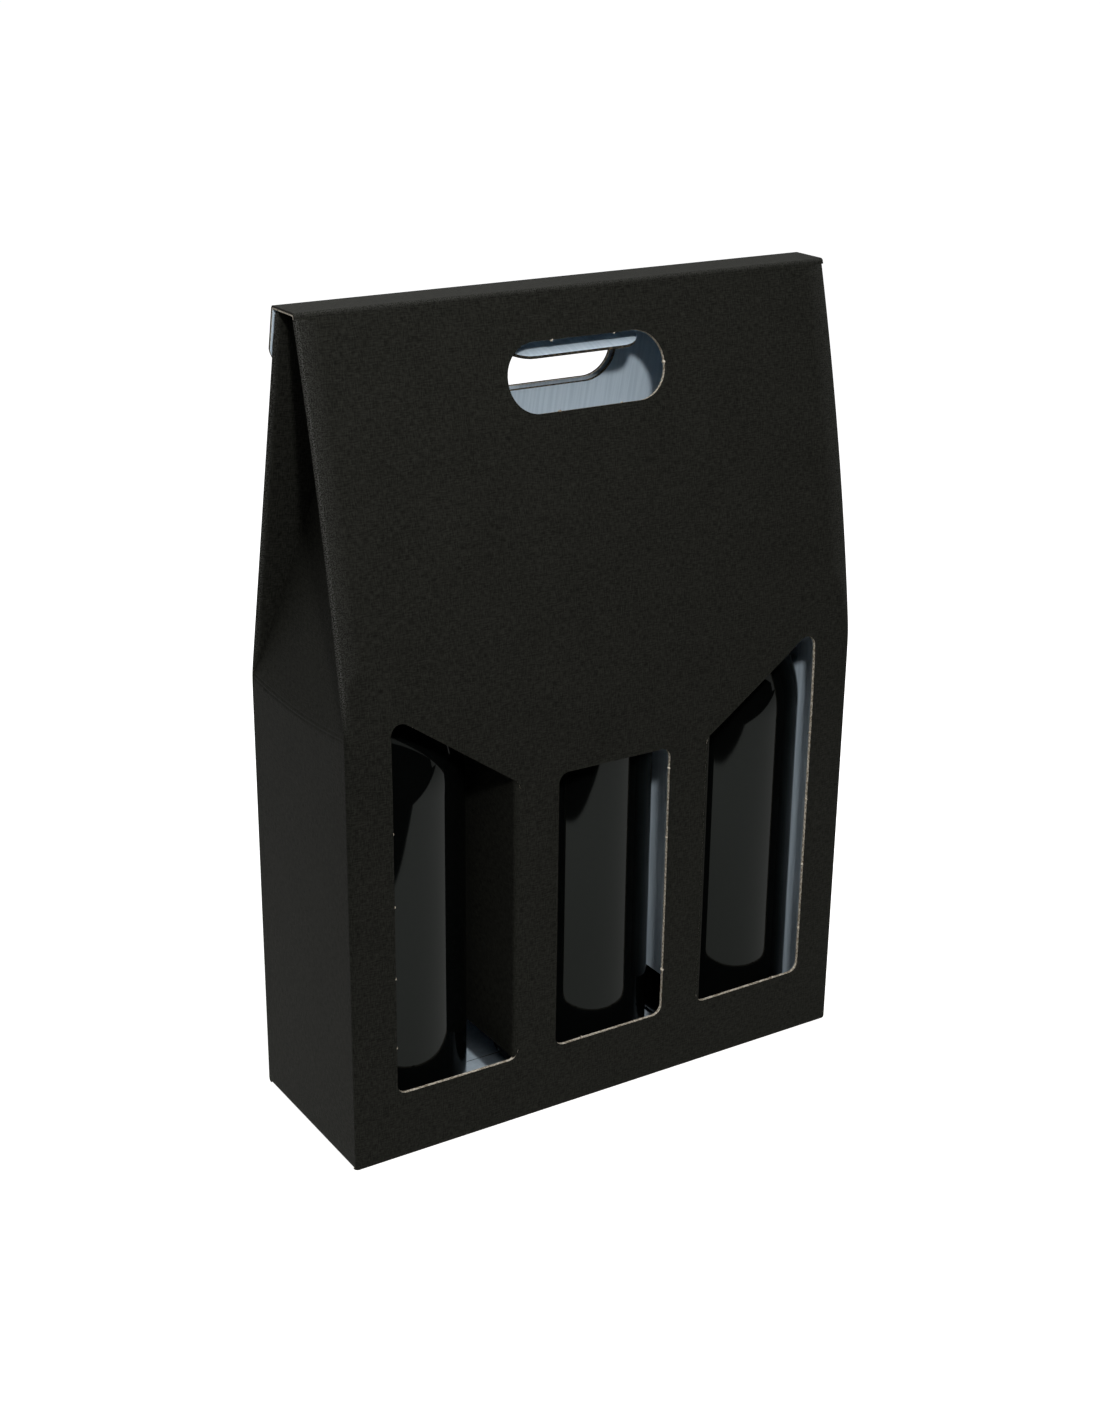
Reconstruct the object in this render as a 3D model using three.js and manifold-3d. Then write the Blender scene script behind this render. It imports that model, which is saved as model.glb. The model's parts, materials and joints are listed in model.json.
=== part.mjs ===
// Gift carton for three wine bottles, folded from one sheet of thin fluted board.
// An upright box with three windows carries a gable top: front and back panels lean together to a narrow
// ridge, the sides fold in as gussets, and a lid runs over the ridge and hangs down outside the back.
// The cut-outs of the outer windows are turned in and stand between the bottles as dividers.
// Millimetres, +Z up. The origin is the centre of the base and the front faces -Y.

import * as THREE from "three";
import { mergeVertices } from "three/addons/utils/BufferGeometryUtils.js";
import Module from "manifold-3d";

// Board: its thickness, and the slack left at each crease and between resting layers
const BOARD = 1.5;
const FOLD_GAP = 0.4;

// Upright box
const WIDTH = 270;
const DEPTH = 93.4;
const SHOULDER_HEIGHT = 210.5;

// Gable top: the ridge, and how far the leaning front panel bows outward at half its height
const RIDGE_HEIGHT = 382.6;
const RIDGE_WIDTH = 20.6;
const FRONT_BOW = 3;

// Windows: side windows rise towards the outer edges of the box. Heads hang below the shoulder
const WINDOW_WIDTH = 60.5;
const WINDOW_SILL = 34;
const WINDOW_HEAD_DROP = 37;
const WINDOW_RISE = 41;
const WINDOW_CORNER = 5;

// Dividers: slack round the flap cut from a window, between its crease and the panel, and to the outer bottle
const FLAP_SLACK = 0.8;
const DIVIDER_CREASE_GAP = 0.5;
const DIVIDER_BOTTLE_GAP = 3.25;

// Handle: front hole, the two smaller holes behind it, and their centre below the ridge
const HANDLE_WIDTH = 80.8;
const HANDLE_HEIGHT = 30.4;
const HANDLE_DROP = 37.2;
const BACK_HOLE_WIDTH = 75;
const BACK_HOLE_HEIGHT = 29;
const FLAP_HOLE_WIDTH = 72;
const FLAP_HOLE_HEIGHT = 25.6;

// Closing flap on the back: its length, where its sides start to taper, and how far they taper in
const CLOSING_FLAP_LENGTH = 82;
const CLOSING_FLAP_STRAIGHT = 20;
const CLOSING_FLAP_TAPER = 24;
const CLOSING_FLAP_CORNER = 14;
const CLOSING_FLAP_CORNER_LEAN = 5;
const CLOSING_FLAP_GAP = 0.8;

// Back panel ends this far below the ridge, so the lid swings over its edge
const BACK_EDGE_DROP = 12;

// Grip tab: length of the tongue cut from the back hole, and how far it is folded in from flush
const TAB_LENGTH = 25;
const TAB_FOLD = THREE.MathUtils.degToRad(97);

// Gusset: slack along the creases between web and flanks, and the flanks' widest reach
const WEB_CREASE_SLACK = 2.4;
const FLANK_CREASE_SLACK = 4.8;
const FLANK_REACH = 29;
const WEB_TIP_DROP = 12;
const FLANK_TOP_DROP = 4;

// Base: inner side flaps, the step where the two main flaps lock, and the glued strip
const SIDE_FLAP_LENGTH = 52;
const SIDE_FLAP_TAPER = 9;
const LOCK_STEP = 9;
const LOCK_SLOPE = 6;
const GLUE_FLAP_WIDTH = 24;
const GLUE_FLAP_TAPER = 8;

// Bottles: the outer two stand clear of the box's ends, the middle one stands loose to the right of its
// bay's centre, and each has a punted foot
const BOTTLE_SIDE_GAP = 1;
const MIDDLE_BOTTLE_SHIFT = 8;
const BOTTLE_RADIUS = 38;
const BOTTLE_HEIGHT = 292;
const BOTTLE_BODY_HEIGHT = 188;
const BOTTLE_HEEL = 4;
const BOTTLE_FOOT = 31;
const PUNT_DEPTH = 16;
const BOTTLE_SHOULDER_RADIUS = 36;
const BOTTLE_SHOULDER_TURN = THREE.MathUtils.degToRad(52);
const NECK_RADIUS = 14.8;
const NECK_TOP_RADIUS = 13.4;
const LIP_RADIUS = 14.2;
const LIP_HEIGHT = 9;
const LIP_BELOW_MOUTH = 4;
const MOUTH_ROUNDING = 1;

// Corks
const CORK_RADIUS = 9.2;
const CORK_LENGTH = 44;
const CORK_CHAMFER = 1;
const CORK_GAP = 0.3;

// Fineness of round stretches
const CORNER_STEPS = 5;
const END_STEPS = 10;
const BOW_STEPS = 10;
const BOTTLE_SIDES = 32;
const HEEL_STEPS = 3;
const SHOULDER_STEPS = 6;
const CORK_SIDES = 16;

// Points of a solid nearer than this are one point
const SAME_POINT = 1e-4;

// A cutter reaches this far past the board on each side
const CUT_REACH = 12;

const BLACK_BOARD = { color: 0x1d1d1b, roughness: 0.72, metalness: 0 };
const WHITE_BOARD = { color: 0xd9dde0, roughness: 0.85, metalness: 0 };
const DARK_GLASS = { color: 0x0b0d0c, roughness: 0.08, metalness: 0 };
const CORK = { color: 0xb38a5c, roughness: 0.9, metalness: 0 };

const wasm = await Module();
wasm.setup();

const carton = new THREE.Group();

// A closed geometry, placed by a matrix, as a solid that can be cut and joined.
function solidOf(geometry, matrix = new THREE.Matrix4()) {
  const plain = geometry.clone().applyMatrix4(matrix);
  plain.deleteAttribute("normal");
  plain.deleteAttribute("uv");
  const merged = mergeVertices(plain, SAME_POINT);
  return new wasm.Manifold(
    new wasm.Mesh({
      numProp: 3,
      vertProperties: new Float32Array(merged.attributes.position.array),
      triVerts: new Uint32Array(merged.index.array),
    }),
  );
}

function geometryOf(solid) {
  const mesh = solid.getMesh();
  const geometry = new THREE.BufferGeometry();
  geometry.setAttribute("position", new THREE.BufferAttribute(mesh.vertProperties, 3));
  geometry.setIndex(new THREE.BufferAttribute(mesh.triVerts, 1));
  geometry.computeVertexNormals();
  return geometry;
}

function addPiece(parent, name, geometry, finish) {
  const mesh = new THREE.Mesh(geometry, new THREE.MeshStandardMaterial(finish));
  mesh.name = name;
  parent.add(mesh);
  return mesh;
}

// A frame on one side of the box: x runs along the wall, y is up and z points out of its outer face.
function wallFrame(heading, distance) {
  const turned = new THREE.Group();
  turned.rotation.z = heading;
  carton.add(turned);
  const face = new THREE.Group();
  face.position.y = -distance;
  face.rotation.x = Math.PI / 2;
  turned.add(face);
  return face;
}

function points2(pairs) {
  return pairs.map(([x, y]) => new THREE.Vector2(x, y));
}

// A closed outline through the corners, walked anticlockwise, with each corner rounded to a radius.
function roundedOutline(corners, radius) {
  const outline = new THREE.Shape();
  corners.forEach((corner, i) => {
    const toLast = corners.at(i - 1).clone().sub(corner).normalize();
    const toNext = corners[(i + 1) % corners.length].clone().sub(corner).normalize();
    const halfAngle = Math.acos(toLast.dot(toNext)) / 2;
    const middle = toLast.clone().add(toNext).normalize();
    const centre = middle.multiplyScalar(radius / Math.sin(halfAngle)).add(corner);
    const setback = radius / Math.tan(halfAngle);
    const start = toLast.multiplyScalar(setback).add(corner).sub(centre);
    const end = toNext.multiplyScalar(setback).add(corner).sub(centre);
    outline.absarc(centre.x, centre.y, radius, start.angle(), end.angle(), false);
  });
  outline.closePath();
  return outline;
}

// A slot with two round ends, centred on the origin.
function slotOutline(width, height) {
  const outline = new THREE.Shape();
  const radius = height / 2;
  const straight = width / 2 - radius;
  outline.absarc(straight, 0, radius, -Math.PI / 2, Math.PI / 2, false);
  outline.absarc(-straight, 0, radius, Math.PI / 2, (3 * Math.PI) / 2, false);
  outline.closePath();
  return outline;
}

// A flat board cut to an outline in x and y. Its outer face is z = 0.
function flatBoard(outline, curveSegments = CORNER_STEPS) {
  const options = { depth: BOARD, bevelEnabled: false, curveSegments };
  return new THREE.ExtrudeGeometry(outline, options).translate(0, 0, -BOARD);
}

// A cutter through a board: the outline in x and y, reaching past both faces.
function cutter(outline, curveSegments) {
  const options = { depth: 2 * CUT_REACH, bevelEnabled: false, curveSegments };
  return new THREE.ExtrudeGeometry(outline, options).translate(0, 0, -CUT_REACH);
}

// An upright wall whose two outer edges are rounded by the board's own thickness, as a fold is.
function foldedWall(width, height) {
  const half = width / 2;
  const profile = new THREE.Shape();
  profile.moveTo(-half, BOARD);
  profile.lineTo(half, BOARD);
  profile.absarc(half - BOARD, BOARD, BOARD, 0, -Math.PI / 2, true);
  profile.absarc(-half + BOARD, BOARD, BOARD, -Math.PI / 2, -Math.PI, true);
  const options = { depth: height, bevelEnabled: false, curveSegments: CORNER_STEPS };
  return new THREE.ExtrudeGeometry(profile, options).rotateX(-Math.PI / 2);
}

// Profiles across the carton lie in the plane of y and z; this turns one to run along x.
const acrossCarton = new THREE.Matrix4().makeBasis(
  new THREE.Vector3(0, 1, 0),
  new THREE.Vector3(0, 0, 1),
  new THREE.Vector3(1, 0, 0),
);

function rightOf(direction) {
  return new THREE.Vector2(direction.y, -direction.x);
}

// A board bent along a path of y and z points. The path is its outer face, walked with the inside of the
// carton on the right. The neighbours at each end mitre it; a free end has none and is cut square.
function bentBoard(path, before, after) {
  const outer = [];
  const inner = [];
  path.forEach((point, i) => {
    const last = i > 0 ? path[i - 1] : before;
    const next = i < path.length - 1 ? path[i + 1] : after;
    const arriving = point.clone().sub(last ?? point);
    const leaving = (next ?? point).clone().sub(point);
    const inward = rightOf((last ? arriving : leaving).clone().normalize());
    const inwardNext = rightOf((next ? leaving : arriving).clone().normalize());
    const mitre = inward.clone().add(inwardNext).multiplyScalar(BOARD / (1 + inward.dot(inwardNext)));
    const slack = new THREE.Vector2();
    if (i === 0 && before) slack.copy(leaving).setLength(FOLD_GAP / 2);
    if (i === path.length - 1 && after) slack.copy(arriving).setLength(-FOLD_GAP / 2);
    outer.push(point.clone().add(slack));
    inner.push(point.clone().add(mitre).add(slack));
  });
  const options = { depth: WIDTH, bevelEnabled: false };
  const profile = new THREE.Shape([...outer, ...inner.reverse()]);
  return new THREE.ExtrudeGeometry(profile, options).translate(0, 0, -WIDTH / 2).applyMatrix4(acrossCarton);
}

// The frame of an outline drawn on a leaning board: x across, y along the slope towards the top.
function slopeFrame(origin, upSlope) {
  const y = new THREE.Vector3(0, upSlope.x, upSlope.y);
  const x = new THREE.Vector3(1, 0, 0);
  const frame = new THREE.Matrix4().makeBasis(x, y, x.clone().cross(y));
  return frame.setPosition(0, origin.x, origin.y);
}

// Creases of the gable as points of y and z, on the outer faces
const frontShoulder = new THREE.Vector2(-DEPTH / 2, SHOULDER_HEIGHT);
const backShoulder = new THREE.Vector2(DEPTH / 2, SHOULDER_HEIGHT);
const frontRidge = new THREE.Vector2(-RIDGE_WIDTH / 2, RIDGE_HEIGHT);
const backRidge = new THREE.Vector2(RIDGE_WIDTH / 2, RIDGE_HEIGHT);
const straightDown = new THREE.Vector2(0, -1);

const frontUp = frontRidge.clone().sub(frontShoulder).normalize();
const frontSlope = frontShoulder.distanceTo(frontRidge);
const frontLean = Math.atan2(frontUp.x, frontUp.y);

// The back panel lies inside the closing flap, so it leans in a little further
const flapInset = (BOARD + CLOSING_FLAP_GAP) / Math.cos(frontLean);
const backPanelTop = backRidge.clone().sub(new THREE.Vector2(flapInset, 0));
const backUp = backPanelTop.clone().sub(backShoulder).normalize();
const backLean = Math.atan2(-backUp.x, backUp.y);

// Upright walls
const frontWall = wallFrame(0, DEPTH / 2);
const rightWall = wallFrame(Math.PI / 2, WIDTH / 2);
const backWall = wallFrame(Math.PI, DEPTH / 2);
const leftWall = wallFrame(-Math.PI / 2, WIDTH / 2);

const wallHeight = SHOULDER_HEIGHT - FOLD_GAP / 2;
const sideHalf = DEPTH / 2 - BOARD - FOLD_GAP;

// Base: inner side flaps lie on two main flaps, which lock edge to edge along a stepped line
const mainFlapTop = BOARD;
const sideFlapBottom = mainFlapTop + FOLD_GAP;
const sideFlapTop = sideFlapBottom + BOARD;
const mainHalfWidth = WIDTH / 2 - BOARD - FOLD_GAP;

// Gusset. The web is a triangle on the side's shoulder crease whose tip reaches ridge height; a flank on
// each leaning edge joins it along a crease. Folding is rigid, so the lean fixes the other two angles.
const halfDepth = DEPTH / 2;
const webHeight = frontSlope;

function webTilt(lean) {
  const along = (webHeight - halfDepth * Math.sin(lean)) / (webHeight * Math.cos(lean));
  return Math.acos(along);
}

function flankFold(lean) {
  const along = (halfDepth - webHeight * Math.sin(lean)) / (halfDepth * Math.cos(lean));
  return Math.acos(along);
}

// An arc of radius and height points round a centre, from one angle to another
function profileArc(centre, radius, from, to, steps) {
  return Array.from({ length: steps + 1 }, (_, i) => {
    const angle = from + ((to - from) * i) / steps;
    return new THREE.Vector2(centre.x + radius * Math.cos(angle), centre.y + radius * Math.sin(angle));
  });
}

// Bottle: punted foot, straight body, round shoulder, slim neck with a lip, and a bore for the cork
function makeBottleProfile() {
  const shoulderCentre = new THREE.Vector2(BOTTLE_RADIUS - BOTTLE_SHOULDER_RADIUS, BOTTLE_BODY_HEIGHT);
  const shoulder = profileArc(shoulderCentre, BOTTLE_SHOULDER_RADIUS, 0, BOTTLE_SHOULDER_TURN, SHOULDER_STEPS);
  const turnOut = shoulder.at(-1);
  const sweepRadius = (turnOut.x - NECK_RADIUS) / (1 - Math.cos(BOTTLE_SHOULDER_TURN));
  const sweepCentre = new THREE.Vector2(
    NECK_RADIUS + sweepRadius,
    turnOut.y + sweepRadius * Math.sin(BOTTLE_SHOULDER_TURN),
  );
  const sweep = profileArc(
    sweepCentre,
    sweepRadius,
    Math.PI + BOTTLE_SHOULDER_TURN,
    Math.PI,
    SHOULDER_STEPS,
  ).slice(1);
  const lipTop = BOTTLE_HEIGHT - LIP_BELOW_MOUTH;
  const boreRadius = CORK_RADIUS + CORK_GAP;
  return [
    ...points2([[0, PUNT_DEPTH], [BOTTLE_FOOT / 2, PUNT_DEPTH / 2], [BOTTLE_FOOT, 0]]),
    ...profileArc(
      new THREE.Vector2(BOTTLE_RADIUS - BOTTLE_HEEL, BOTTLE_HEEL),
      BOTTLE_HEEL,
      -Math.PI / 2,
      0,
      HEEL_STEPS,
    ),
    ...shoulder,
    ...sweep,
    ...points2([
      [NECK_TOP_RADIUS, lipTop - LIP_HEIGHT],
      [LIP_RADIUS, lipTop - LIP_HEIGHT],
      [LIP_RADIUS, lipTop],
      [NECK_TOP_RADIUS, lipTop],
      [NECK_TOP_RADIUS, BOTTLE_HEIGHT - MOUTH_ROUNDING],
      [NECK_TOP_RADIUS - MOUTH_ROUNDING, BOTTLE_HEIGHT],
      [boreRadius, BOTTLE_HEIGHT],
      [boreRadius, BOTTLE_HEIGHT - CORK_LENGTH - CORK_GAP],
      [0, BOTTLE_HEIGHT - CORK_LENGTH - CORK_GAP],
    ]),
  ];
}

// The inner face at an end of the box: the upright side, and above the shoulder the leaning web
function endFaceAt(height) {
  const tilt = webTilt(frontLean);
  const rise = height - SHOULDER_HEIGHT;
  return rise < 0 ? WIDTH / 2 - BOARD : WIDTH / 2 - BOARD / Math.cos(tilt) - rise * Math.tan(tilt);
}

// The outer bottles stand as far out as their widest and highest points allow, on the inner side flaps.
const bottleProfile = makeBottleProfile();
const outerBottleFloor = sideFlapTop + FOLD_GAP;
const bottleReaches = bottleProfile.map((point) => endFaceAt(outerBottleFloor + point.y) - point.x);
const bottlePitch = Math.min(...bottleReaches) - BOTTLE_SIDE_GAP;

// A divider is the outer window's own flap, so that window's inner edge lies between two bottles.
const sideWindowInner = bottlePitch - BOTTLE_RADIUS - DIVIDER_BOTTLE_GAP;

// The corners of a window, or of the flap cut from it, for an inner edge at x = 0 and its outer edge at
// x = width. The outer edge is higher by the rise.
function windowCorners(width, rise, slack = 0) {
  const head = SHOULDER_HEIGHT - WINDOW_HEAD_DROP - slack * Math.hypot(1, rise / width);
  return points2([
    [0, WINDOW_SILL + slack],
    [width, WINDOW_SILL + slack],
    [width, head + rise],
    [0, head],
  ]);
}

// A mirrored outline runs the other way round, so its corners are taken in reverse.
function mirrored(corners) {
  return corners.map((corner) => new THREE.Vector2(-corner.x, corner.y)).reverse();
}

function shifted(corners, x) {
  return corners.map((corner) => new THREE.Vector2(corner.x + x, corner.y));
}

function makeFrontPanel() {
  const rising = shifted(windowCorners(WINDOW_WIDTH, WINDOW_RISE), sideWindowInner);
  const level = shifted(windowCorners(WINDOW_WIDTH, 0), -WINDOW_WIDTH / 2);
  let panel = solidOf(foldedWall(WIDTH, wallHeight));
  for (const corners of [mirrored(rising), level, rising]) {
    panel = panel.subtract(solidOf(cutter(roundedOutline(corners, WINDOW_CORNER), CORNER_STEPS)));
  }
  addPiece(frontWall, "front_panel", geometryOf(panel), BLACK_BOARD);
}

function rectangle(left, bottom, right, top) {
  return new THREE.Shape(points2([[left, bottom], [right, bottom], [right, top], [left, top]]));
}

function makePlainWalls() {
  addPiece(backWall, "back_panel", foldedWall(WIDTH, wallHeight), BLACK_BOARD);
  const side = flatBoard(rectangle(-sideHalf, 0, sideHalf, wallHeight));
  addPiece(leftWall, "left_side_panel", side, BLACK_BOARD);
  addPiece(rightWall, "right_side_panel", side.clone(), BLACK_BOARD);
}

function layFlat(geometry, top) {
  return geometry.translate(0, 0, top);
}

function makeBase() {
  const edge = FOLD_GAP / 2;
  const mainFlap = new THREE.Shape(
    points2([
      [-mainHalfWidth, -sideHalf],
      [mainHalfWidth, -sideHalf],
      [mainHalfWidth, -LOCK_STEP - edge],
      [LOCK_SLOPE, -LOCK_STEP - edge],
      [-LOCK_SLOPE, LOCK_STEP - edge],
      [-mainHalfWidth, LOCK_STEP - edge],
    ]),
  );
  const front = layFlat(flatBoard(mainFlap), mainFlapTop);
  addPiece(carton, "bottom_front_flap", front, BLACK_BOARD);
  const back = addPiece(carton, "bottom_back_flap", front.clone(), BLACK_BOARD);
  back.rotation.z = Math.PI;

  const sideFlap = new THREE.Shape(
    points2([
      [-mainHalfWidth, -sideHalf],
      [-mainHalfWidth + SIDE_FLAP_LENGTH, -sideHalf + SIDE_FLAP_TAPER],
      [-mainHalfWidth + SIDE_FLAP_LENGTH, sideHalf - SIDE_FLAP_TAPER],
      [-mainHalfWidth, sideHalf],
    ]),
  );
  const left = layFlat(flatBoard(sideFlap), sideFlapTop);
  addPiece(carton, "bottom_left_flap", left, BLACK_BOARD);
  const right = addPiece(carton, "bottom_right_flap", left.clone(), BLACK_BOARD);
  right.rotation.z = Math.PI;
}

// The strip that closes the sleeve, glued inside the right side at its back corner
function makeGlueFlap() {
  const bottom = sideFlapTop + FOLD_GAP;
  const strip = new THREE.Shape(
    points2([
      [sideHalf, bottom],
      [sideHalf, wallHeight],
      [sideHalf - GLUE_FLAP_WIDTH, wallHeight - GLUE_FLAP_TAPER],
      [sideHalf - GLUE_FLAP_WIDTH, bottom + GLUE_FLAP_TAPER],
    ]),
  );
  const board = flatBoard(strip).translate(0, 0, -BOARD - FOLD_GAP);
  addPiece(rightWall, "glue_flap", board, WHITE_BOARD);
}

// A divider is the outer window's own flap, turned in square about the window's inner edge.
// Its outer face lines up with that edge and its tall end reaches towards the back.
function makeDivider(name, side) {
  const hinge = new THREE.Group();
  hinge.position.set(side * sideWindowInner, 0, -BOARD);
  hinge.rotation.y = (side * Math.PI) / 2;
  frontWall.add(hinge);
  const corners = windowCorners(WINDOW_WIDTH - FLAP_SLACK, WINDOW_RISE, FLAP_SLACK);
  const seated = shifted(corners, DIVIDER_CREASE_GAP);
  const outline = roundedOutline(side > 0 ? seated : mirrored(seated), WINDOW_CORNER);
  addPiece(hinge, name, flatBoard(outline), BLACK_BOARD);
}

// The bowed front of the gable, from the shoulder up to the ridge
function bowedFront() {
  const outward = rightOf(frontUp).negate();
  return Array.from({ length: BOW_STEPS + 1 }, (_, i) => {
    const share = i / BOW_STEPS;
    const bow = 4 * FRONT_BOW * share * (1 - share);
    return frontShoulder.clone().lerp(frontRidge, share).addScaledVector(outward, bow);
  });
}

function handleCut(width, height, ridgeCorner, up) {
  const centre = ridgeCorner.clone().addScaledVector(up, -HANDLE_DROP);
  return solidOf(cutter(slotOutline(width, height), END_STEPS), slopeFrame(centre, up));
}

const closingFlapEnd = backRidge.clone().addScaledVector(backUp, -CLOSING_FLAP_LENGTH);

function makeGablePanels() {
  const frontPath = bowedFront();
  const front = solidOf(bentBoard(frontPath, frontShoulder.clone().add(straightDown), backRidge));
  const frontHole = handleCut(HANDLE_WIDTH, HANDLE_HEIGHT, frontRidge, frontUp);
  addPiece(carton, "front_gable_panel", geometryOf(front.subtract(frontHole)), BLACK_BOARD);

  const backTop = backPanelTop.clone().addScaledVector(backUp, -BACK_EDGE_DROP);
  const back = solidOf(bentBoard([backTop, backShoulder], null, backShoulder.clone().add(straightDown)));
  const backHole = handleCut(BACK_HOLE_WIDTH, BACK_HOLE_HEIGHT, backPanelTop, backUp);
  addPiece(carton, "back_gable_panel", geometryOf(back.subtract(backHole)), BLACK_BOARD);

  const ridge = bentBoard([frontRidge, backRidge], frontPath.at(-2), closingFlapEnd);
  addPiece(carton, "ridge_panel", ridge, BLACK_BOARD);
}

// The closing flap: straight sides under the ridge, then a taper to a rounded lower edge
function makeClosingFlap() {
  const half = WIDTH / 2;
  const outline = new THREE.Shape();
  outline.moveTo(half, CUT_REACH);
  outline.lineTo(-half, CUT_REACH);
  outline.lineTo(-half, -CLOSING_FLAP_STRAIGHT);
  outline.lineTo(-half + CLOSING_FLAP_TAPER, -CLOSING_FLAP_LENGTH + CLOSING_FLAP_CORNER);
  outline.quadraticCurveTo(
    -half + CLOSING_FLAP_TAPER + CLOSING_FLAP_CORNER_LEAN,
    -CLOSING_FLAP_LENGTH,
    -half + CLOSING_FLAP_TAPER + CLOSING_FLAP_CORNER,
    -CLOSING_FLAP_LENGTH,
  );
  outline.lineTo(half - CLOSING_FLAP_TAPER - CLOSING_FLAP_CORNER, -CLOSING_FLAP_LENGTH);
  outline.quadraticCurveTo(
    half - CLOSING_FLAP_TAPER - CLOSING_FLAP_CORNER_LEAN,
    -CLOSING_FLAP_LENGTH,
    half - CLOSING_FLAP_TAPER,
    -CLOSING_FLAP_LENGTH + CLOSING_FLAP_CORNER,
  );
  outline.lineTo(half, -CLOSING_FLAP_STRAIGHT);
  outline.closePath();
  const blank = solidOf(bentBoard([backRidge, closingFlapEnd], frontRidge, null));
  const trimmed = blank.intersect(solidOf(cutter(outline, CORNER_STEPS), slopeFrame(backRidge, backUp)));
  const hole = handleCut(FLAP_HOLE_WIDTH, FLAP_HOLE_HEIGHT, backRidge, backUp);
  addPiece(carton, "closing_flap", geometryOf(trimmed.subtract(hole)), BLACK_BOARD);
}

// The tongue cut from the back hole, folded in about the hole's upper edge with its white face up
function makeGripTab() {
  const inward = rightOf(backUp).negate();
  const holeTop = backPanelTop
    .clone()
    .addScaledVector(backUp, BACK_HOLE_HEIGHT / 2 - HANDLE_DROP)
    .addScaledVector(inward, BOARD);
  const hinge = new THREE.Group();
  hinge.position.set(0, holeTop.x, holeTop.y);
  hinge.rotation.x = Math.PI / 2 + backLean - TAB_FOLD;
  carton.add(hinge);
  const straight = (BACK_HOLE_WIDTH - BACK_HOLE_HEIGHT) / 2;
  const radius = TAB_LENGTH / 2 - FOLD_GAP;
  const tongue = new THREE.Shape();
  tongue.absarc(-straight, -TAB_LENGTH / 2, radius, Math.PI / 2, (3 * Math.PI) / 2, false);
  tongue.absarc(straight, -TAB_LENGTH / 2, radius, -Math.PI / 2, Math.PI / 2, false);
  addPiece(hinge, "grip_tab", flatBoard(tongue, END_STEPS), WHITE_BOARD);
}

function makeWeb(wall, name) {
  const tilt = webTilt(frontLean);
  const hinge = new THREE.Group();
  hinge.position.y = SHOULDER_HEIGHT;
  hinge.rotation.x = -tilt;
  wall.add(hinge);
  const bottom = BOARD * Math.tan(tilt) + FOLD_GAP / 2;
  const top = webHeight - WEB_TIP_DROP;
  const halfAt = (height) => halfDepth * (1 - height / webHeight) - WEB_CREASE_SLACK;
  const outline = new THREE.Shape(
    points2([
      [-halfAt(bottom), bottom],
      [halfAt(bottom), bottom],
      [halfAt(top), top],
      [-halfAt(top), top],
    ]),
  );
  addPiece(hinge, name, flatBoard(outline), BLACK_BOARD);
}

// A flank hinges on the inner side of a leaning edge. It widens with height along the crease to the web
// and then keeps its reach up to the ridge.
function makeFlank(wall, name, edge, lean) {
  const start = new THREE.Group();
  start.position.set(edge * sideHalf, SHOULDER_HEIGHT, -BOARD);
  start.rotation.z = edge * lean;
  wall.add(start);
  const hinge = new THREE.Group();
  hinge.rotation.y = -edge * flankFold(lean);
  start.add(hinge);
  const widening = halfDepth / webHeight;
  const heightAt = (reach) => (reach + FLANK_CREASE_SLACK) / widening;
  const top = (RIDGE_HEIGHT - BOARD - SHOULDER_HEIGHT - FLANK_TOP_DROP) / Math.cos(lean);
  const outline = new THREE.Shape(
    points2([
      [0, heightAt(0)],
      [-edge * FLANK_REACH, heightAt(FLANK_REACH)],
      [-edge * FLANK_REACH, top],
      [0, top],
    ]),
  );
  addPiece(hinge, name, flatBoard(outline).translate(0, 0, BOARD), BLACK_BOARD);
}

function makeGussets() {
  makeWeb(leftWall, "left_gusset_web");
  makeFlank(leftWall, "left_front_flank", 1, frontLean);
  makeFlank(leftWall, "left_back_flank", -1, backLean);
  makeWeb(rightWall, "right_gusset_web");
  makeFlank(rightWall, "right_front_flank", -1, frontLean);
  makeFlank(rightWall, "right_back_flank", 1, backLean);
}

function corkGeometry() {
  const profile = points2([
    [0, 0],
    [CORK_RADIUS - CORK_CHAMFER, 0],
    [CORK_RADIUS, CORK_CHAMFER],
    [CORK_RADIUS, CORK_LENGTH - CORK_CHAMFER],
    [CORK_RADIUS - CORK_CHAMFER, CORK_LENGTH],
    [0, CORK_LENGTH],
  ]);
  return new THREE.LatheGeometry(profile, CORK_SIDES).rotateX(Math.PI / 2);
}

// The middle bottle stands lower than the outer ones, on the main flaps.
function makeBottles() {
  for (const [place, step] of [["left", -1], ["centre", 0], ["right", 1]]) {
    const standing = new THREE.Group();
    const floor = step === 0 ? mainFlapTop + FOLD_GAP : outerBottleFloor;
    const across = step === 0 ? MIDDLE_BOTTLE_SHIFT : step * bottlePitch;
    standing.position.set(across, 0, floor);
    carton.add(standing);
    const glass = new THREE.LatheGeometry(bottleProfile, BOTTLE_SIDES).rotateX(Math.PI / 2);
    addPiece(standing, `${place}_bottle`, glass, DARK_GLASS);
    const cork = addPiece(standing, `${place}_cork`, corkGeometry(), CORK);
    cork.position.z = BOTTLE_HEIGHT - CORK_LENGTH;
  }
}

makeFrontPanel();
makePlainWalls();
makeBase();
makeGlueFlap();
makeDivider("left_divider", -1);
makeDivider("right_divider", 1);
makeGablePanels();
makeClosingFlap();
makeGripTab();
makeGussets();
makeBottles();

export default carton;
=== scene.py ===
import json
import math

import bmesh
import bpy
import numpy as np
from mathutils import Matrix, Vector


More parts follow.
